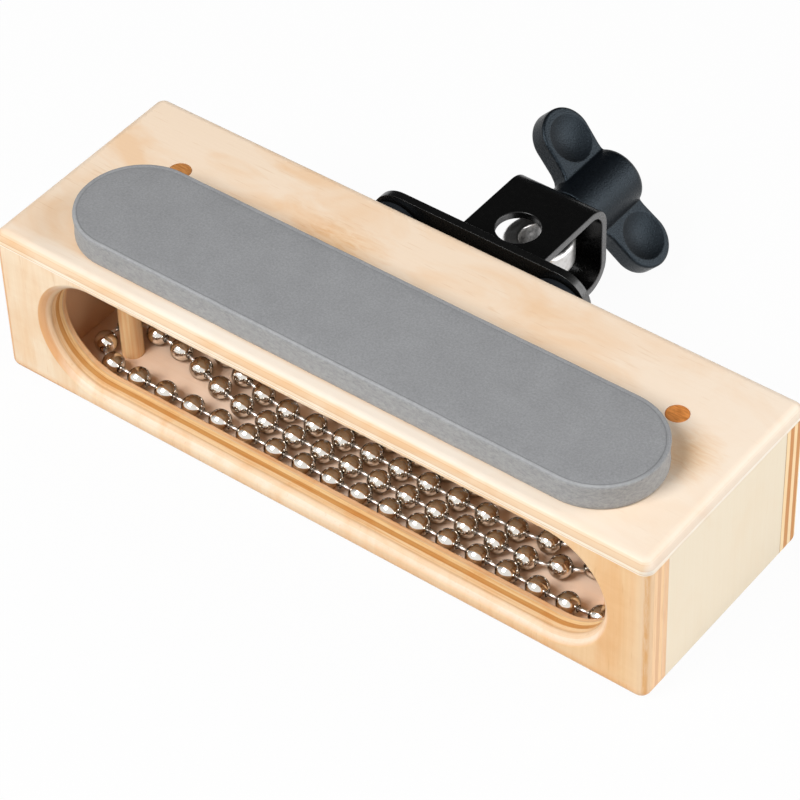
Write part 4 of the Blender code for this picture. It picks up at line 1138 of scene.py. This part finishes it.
def make_mount_plate(coat):
    low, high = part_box("mount_plate")
    holes = [arc(x, z, SCREW_HOLE, 0, 354, 59)
             for x in (-SCREW_ACROSS / 2, SCREW_ACROSS / 2) for z in (-SCREW_UP / 2, SCREW_UP / 2)]
    outline = rounded_rectangle(high.x - low.x, high.z - low.z, PLATE_CORNER)
    plate = round_edges(flat_plate(outline, high.y - low.y, holes), is_sharp, PLATE_EDGE, 3)
    plate.transform(Matrix.Translation((low + high) / 2) @ FACING_FRONT)
    add_piece("black_mount_plate", even_shading(plate), coat, "block", "black_steel", "mount_plate")


def clamp_outline(depth, height):
    """The bent strip's edge: X is the distance back from the plate, Y the height from the middle."""
    half, strip, steps = height / 2, CLAMP_STRIP, 16
    top, bottom = CLAMP_TOP_BEND, CLAMP_BOTTOM_BEND
    outer = arc(depth - bottom, bottom - half, bottom, -90, 0, steps)
    outer += arc(depth - top, half - top, top, 0, 90, steps)
    inner = arc(depth - top, half - top, top - strip, 90, 0, steps)
    inner += arc(depth - bottom, bottom - half, bottom - strip, 0, -90, steps)
    return [(0, -half)] + outer + [(0, half), (0, half - strip)] + inner + [(0, strip - half)]


def make_clamp(coat, zinc):
    low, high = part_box("clamp_bracket")
    strip = flat_plate(clamp_outline(high.y - low.y, high.z - low.z), high.x - low.x)
    strip.transform(Matrix.Translation((0, low.y, CLAMP_AXIS_HEIGHT)) @ FACING_SIDE)
    rod = round_bar(ROD_HOLE, ROD_CUT, 80)
    rod.transform(Matrix.Translation((0, ROD_PLACE_Y, CLAMP_AXIS_HEIGHT)))
    bolt = round_bar(BOLT_HOLE, BOLT_CUT, 60)
    bolt.transform(Matrix.Translation((0, high.y, CLAMP_AXIS_HEIGHT)) @ ALONG_Y)
    clamp = carve(strip, ("DIFFERENCE", rod), ("DIFFERENCE", bolt))
    clamp = round_edges(clamp, is_sharp, CLAMP_EDGE, 3)
    add_piece("black_rod_clamp", even_shading(clamp), coat, "block", "black_steel", "clamp_bracket")
    low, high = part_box("clamp_washer")
    washer = ring((high.x - low.x) / 2, BOLT_HOLE, low.y, high.y, WASHER_EDGE)
    washer.transform(Matrix.Translation((0, 0, CLAMP_AXIS_HEIGHT)) @ ALONG_Y)
    add_piece("thin_clamp_washer", even_shading(washer), zinc, "block", "zinc_steel", "clamp_washer")


# Eye bolt and wing nut

def make_eye_bolt(cast, zinc):
    eye = ring(EYE_OUTER, EYE_INNER, -EYE_HALF, EYE_HALF, EYE_EDGE, 90, EYE_BORE_EDGE, 6)
    neck = round_bar(BOLT_RADIUS - NECK_INSET, NECK_LENGTH, 60)
    neck.transform(Matrix.Translation((0, EYE_OUTER, 0)) @ ALONG_Y)
    casting = fused(carve(eye, ("UNION", neck)), EYE_VOXEL, 6)
    for vert in casting.vertices:
        dent = min(noise.noise(vert.co * 480) + noise.noise(vert.co * 1300) * 0.5, 0.0)
        vert.co += vert.normal * dent * PIT_DEPTH
    casting.transform(Matrix.Translation((0, EYE_PLACE_Y, CLAMP_AXIS_HEIGHT)))
    add_piece("cast_eye_ring", soft_shading(casting), cast, "eye_bolt", "cast_eye", "eye_bolt")
    thread = threaded_rod(EYE_PLACE_Y + EYE_OUTER + THREAD_START, BOLT_END_Y)
    add_piece("eye_bolt_thread", even_shading(thread, 60), zinc, "eye_bolt", "cast_eye")


def threaded_rod(start, end):
    """A right-hand thread along Y as one closed skin, with a plain run-out at each end."""
    count = int((end - start) / THREAD_PITCH * THREAD_STEPS)
    bm = bmesh.new()
    rings = []
    for step in range(count + 1):
        y = start + (end - start) * step / count
        fade = min(1.0, min(y - start, end - y) / THREAD_PITCH)
        verts = []
        for side in range(THREAD_SIDES):
            turn = 2 * pi * side / THREAD_SIDES
            phase = (y / THREAD_PITCH + side / THREAD_SIDES) % 1.0
            crest = 1 - abs(2 * phase - 1)
            radius = BOLT_ROOT + (BOLT_RADIUS - BOLT_ROOT) * crest * fade
            verts.append(bm.verts.new((radius * cos(turn), y, CLAMP_AXIS_HEIGHT + radius * sin(turn))))
        rings.append(verts)
    skinned(bm, rings)
    return closed_mesh(bm, "thread")


def wing_outline():
    """Both wings' edge, which flares at the hub: X out from the bolt, Y back from the nut's front face."""
    near = [(x / 1000, y / 1000) for x, y in WING_NEAR_EDGE]
    far = [(x / 1000, y / 1000) for x, y in WING_FAR_EDGE]
    right = near + arc(LOBE_OUT, LOBE_BACK, LOBE_RADIUS, -85, 96, 40) + far
    return right + [(-x, y) for x, y in reversed(right)]


def hollow_depth(x, y):
    """How far the round thumb bowl goes in at a place on a wing."""
    away = sqrt((abs(x) - BOWL_OUT) ** 2 + (y - BOWL_BACK) ** 2) / BOWL_REACH
    return BOWL_DEPTH * max(0.0, 1 - away ** 2)


def nut_bore():
    """The hole through the hub: wide for the metal insert in front, and just clear of the bolt behind it."""
    clear = BOLT_HOLE + BORE_CLEARANCE
    profile = [(0, BORE_END), (clear, BORE_END), (clear, INSERT_END), (INSERT_HOLE, INSERT_END)]
    profile += [(INSERT_HOLE, BORE_START), (0, BORE_START)]
    return moved(lathe(profile, 60), ALONG_Y)


def make_wing_nut(plastic, brass):
    wings = round_edges(flat_plate(wing_outline(), WING_THICK), is_sharp, WING_EDGE, 5)
    edge, front_edge = HUB_EDGE, HUB_FRONT_EDGE
    profile = [(0, HUB_LENGTH)] + arc(HUB_RADIUS - edge, HUB_LENGTH - edge, edge, 90, 0, 8)
    profile += arc(HUB_RADIUS - front_edge, front_edge, front_edge, 0, -90, 4) + [(0, 0)]
    hub = moved(lathe(profile, 96), ALONG_Y)
    nut = fused(carve(wings, ("UNION", hub), ("DIFFERENCE", nut_bore())), NUT_VOXEL, 4)
    for vert in nut.vertices:
        if abs(vert.co.z) > WING_THICK / 2 - WING_SKIN and abs(vert.co.x) > HUB_RADIUS:
            vert.co.z -= (1 if vert.co.z > 0 else -1) * hollow_depth(vert.co.x, vert.co.y)
    place = Matrix.Translation((0, NUT_FRONT_Y, CLAMP_AXIS_HEIGHT))
    nut.transform(place @ Matrix.Rotation(WING_TURN, 4, "Y"))
    add_piece("moulded_wing_nut", soft_shading(nut), plastic, "wing_nut", "blue_black_plastic", "wing_nut")
    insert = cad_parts["wing_nut_insert"]
    insert.data.materials.clear()
    insert.data.materials.append(brass)


# Studio

def make_camera():
    camera = bpy.data.cameras.new("photo_camera")
    camera.lens = CAMERA_LENS
    camera.sensor_width = CAMERA_SENSOR
    camera.clip_start = 0.01
    camera.clip_end = 50.0
    holder = workpiece("photo_camera", camera)
    columns = (Vector(CAMERA_RIGHT), -Vector(CAMERA_DOWN), -Vector(CAMERA_AHEAD))
    turn = Matrix([[column[row] for column in columns] for row in range(3)])
    holder.matrix_world = Matrix.LocRotScale(Vector(CAMERA_PLACE), turn.to_quaternion(), None)
    bpy.context.scene.camera = holder


def make_world():
    """White where it is seen, a dim even light elsewhere, and dark on one side for mirrored rays."""
    world = bpy.data.worlds.new("white_studio")
    bpy.context.scene.world = world
    world.use_nodes = True
    tree = world.node_tree
    background = tree.nodes["Background"]
    background.inputs["Color"].default_value = (1, 1, 1, 1)
    path = add_node(tree, "ShaderNodeLightPath").outputs
    heading = add_node(tree, "ShaderNodeTexCoord").outputs["Generated"]
    toward = add_node(tree, "ShaderNodeVectorMath", {0: heading, 1: DARK_SIDE}, operation="DOT_PRODUCT")
    shade = ranged(tree, toward.outputs["Value"], 0.35, 0.80, 1.0 - WORLD_LIGHT, -0.15)
    mirrored = product(tree, path["Is Glossy Ray"], shade)
    seen = sum_of(tree, path["Is Camera Ray"], path["Is Transmission Ray"])
    extra = sum_of(tree, product(tree, seen, 1.0 - WORLD_LIGHT), mirrored)
    tree.links.new(sum_of(tree, extra, WORLD_LIGHT), background.inputs["Strength"])


def make_floor():
    """A floor that is white where it is seen and grey to scattered light, so that it keeps the shadow."""
    material, tree, shader = new_finish("white_floor", grey(0.72), 0.9, specular_ior_level=0.0)
    path = add_node(tree, "ShaderNodeLightPath").outputs
    seen = sum_of(tree, path["Is Camera Ray"], path["Is Glossy Ray"])
    seen = sum_of(tree, seen, path["Is Transmission Ray"])
    glow = add_node(tree, "ShaderNodeEmission", {"Color": (1, 1, 1, 1), "Strength": 1.0}).outputs[0]
    surfaces = {0: product(tree, seen, FLOOR_GLOW), 1: shader.outputs[0], 2: glow}
    surface = add_node(tree, "ShaderNodeMixShader", surfaces)
    tree.links.new(surface.outputs[0], tree.nodes["Material Output"].inputs["Surface"])
    bm = bmesh.new()
    bmesh.ops.create_grid(bm, x_segments=1, y_segments=1, size=FLOOR_HALF)
    mesh = bpy.data.meshes.new("white_floor")
    bm.to_mesh(mesh)
    bm.free()
    mesh.materials.append(material)
    floor = workpiece("white_floor", mesh)
    floor.location.z = -FLOOR_DROP


def make_lamps():
    for name, place, size, power in LAMPS:
        light = bpy.data.lights.new(name, "AREA")
        light.shape = "SQUARE"
        light.size = size
        light.energy = power
        lamp = workpiece(name, light)
        lamp.location = place
        lamp.rotation_euler = (LAMP_TARGET - Vector(place)).to_track_quat("-Z", "Y").to_euler()


bpy.context.scene.view_settings.view_transform = "Standard"
make_camera()
make_world()
make_floor()
make_lamps()

nickel = chain_finish()
zinc = metal_finish("zinc_plate", (0.62, 0.63, 0.64), 0.28, 0.08, 700.0, 0.1)
brass = metal_finish("turned_brass", (0.72, 0.52, 0.24), 0.28, 0.06)
coat = powder_coat("black_powder_coat", 0.8, 0.6)
strip_coat = powder_coat("thin_edged_powder_coat", 1.0, 0.3)
rubber = speckled_finish("black_rubber", (0.006, 0.0065, 0.008), (0.014, 0.015, 0.018),
                         0.55, 1800.0, 0.2, 0.4)
plastic = speckled_finish("blue_black_plastic", (0.0010, 0.0016, 0.0025), (0.0036, 0.0050, 0.0069),
                          0.31, 2200.0, 0.8, 0.31)

make_box()
make_dowels()
make_pad()
make_chains(nickel)
make_mount_plate(coat)
make_clamp(strip_coat, zinc)
make_corner_sets(zinc, rubber)
make_eye_bolt(cast_finish(), zinc)
make_wing_nut(plastic, brass)
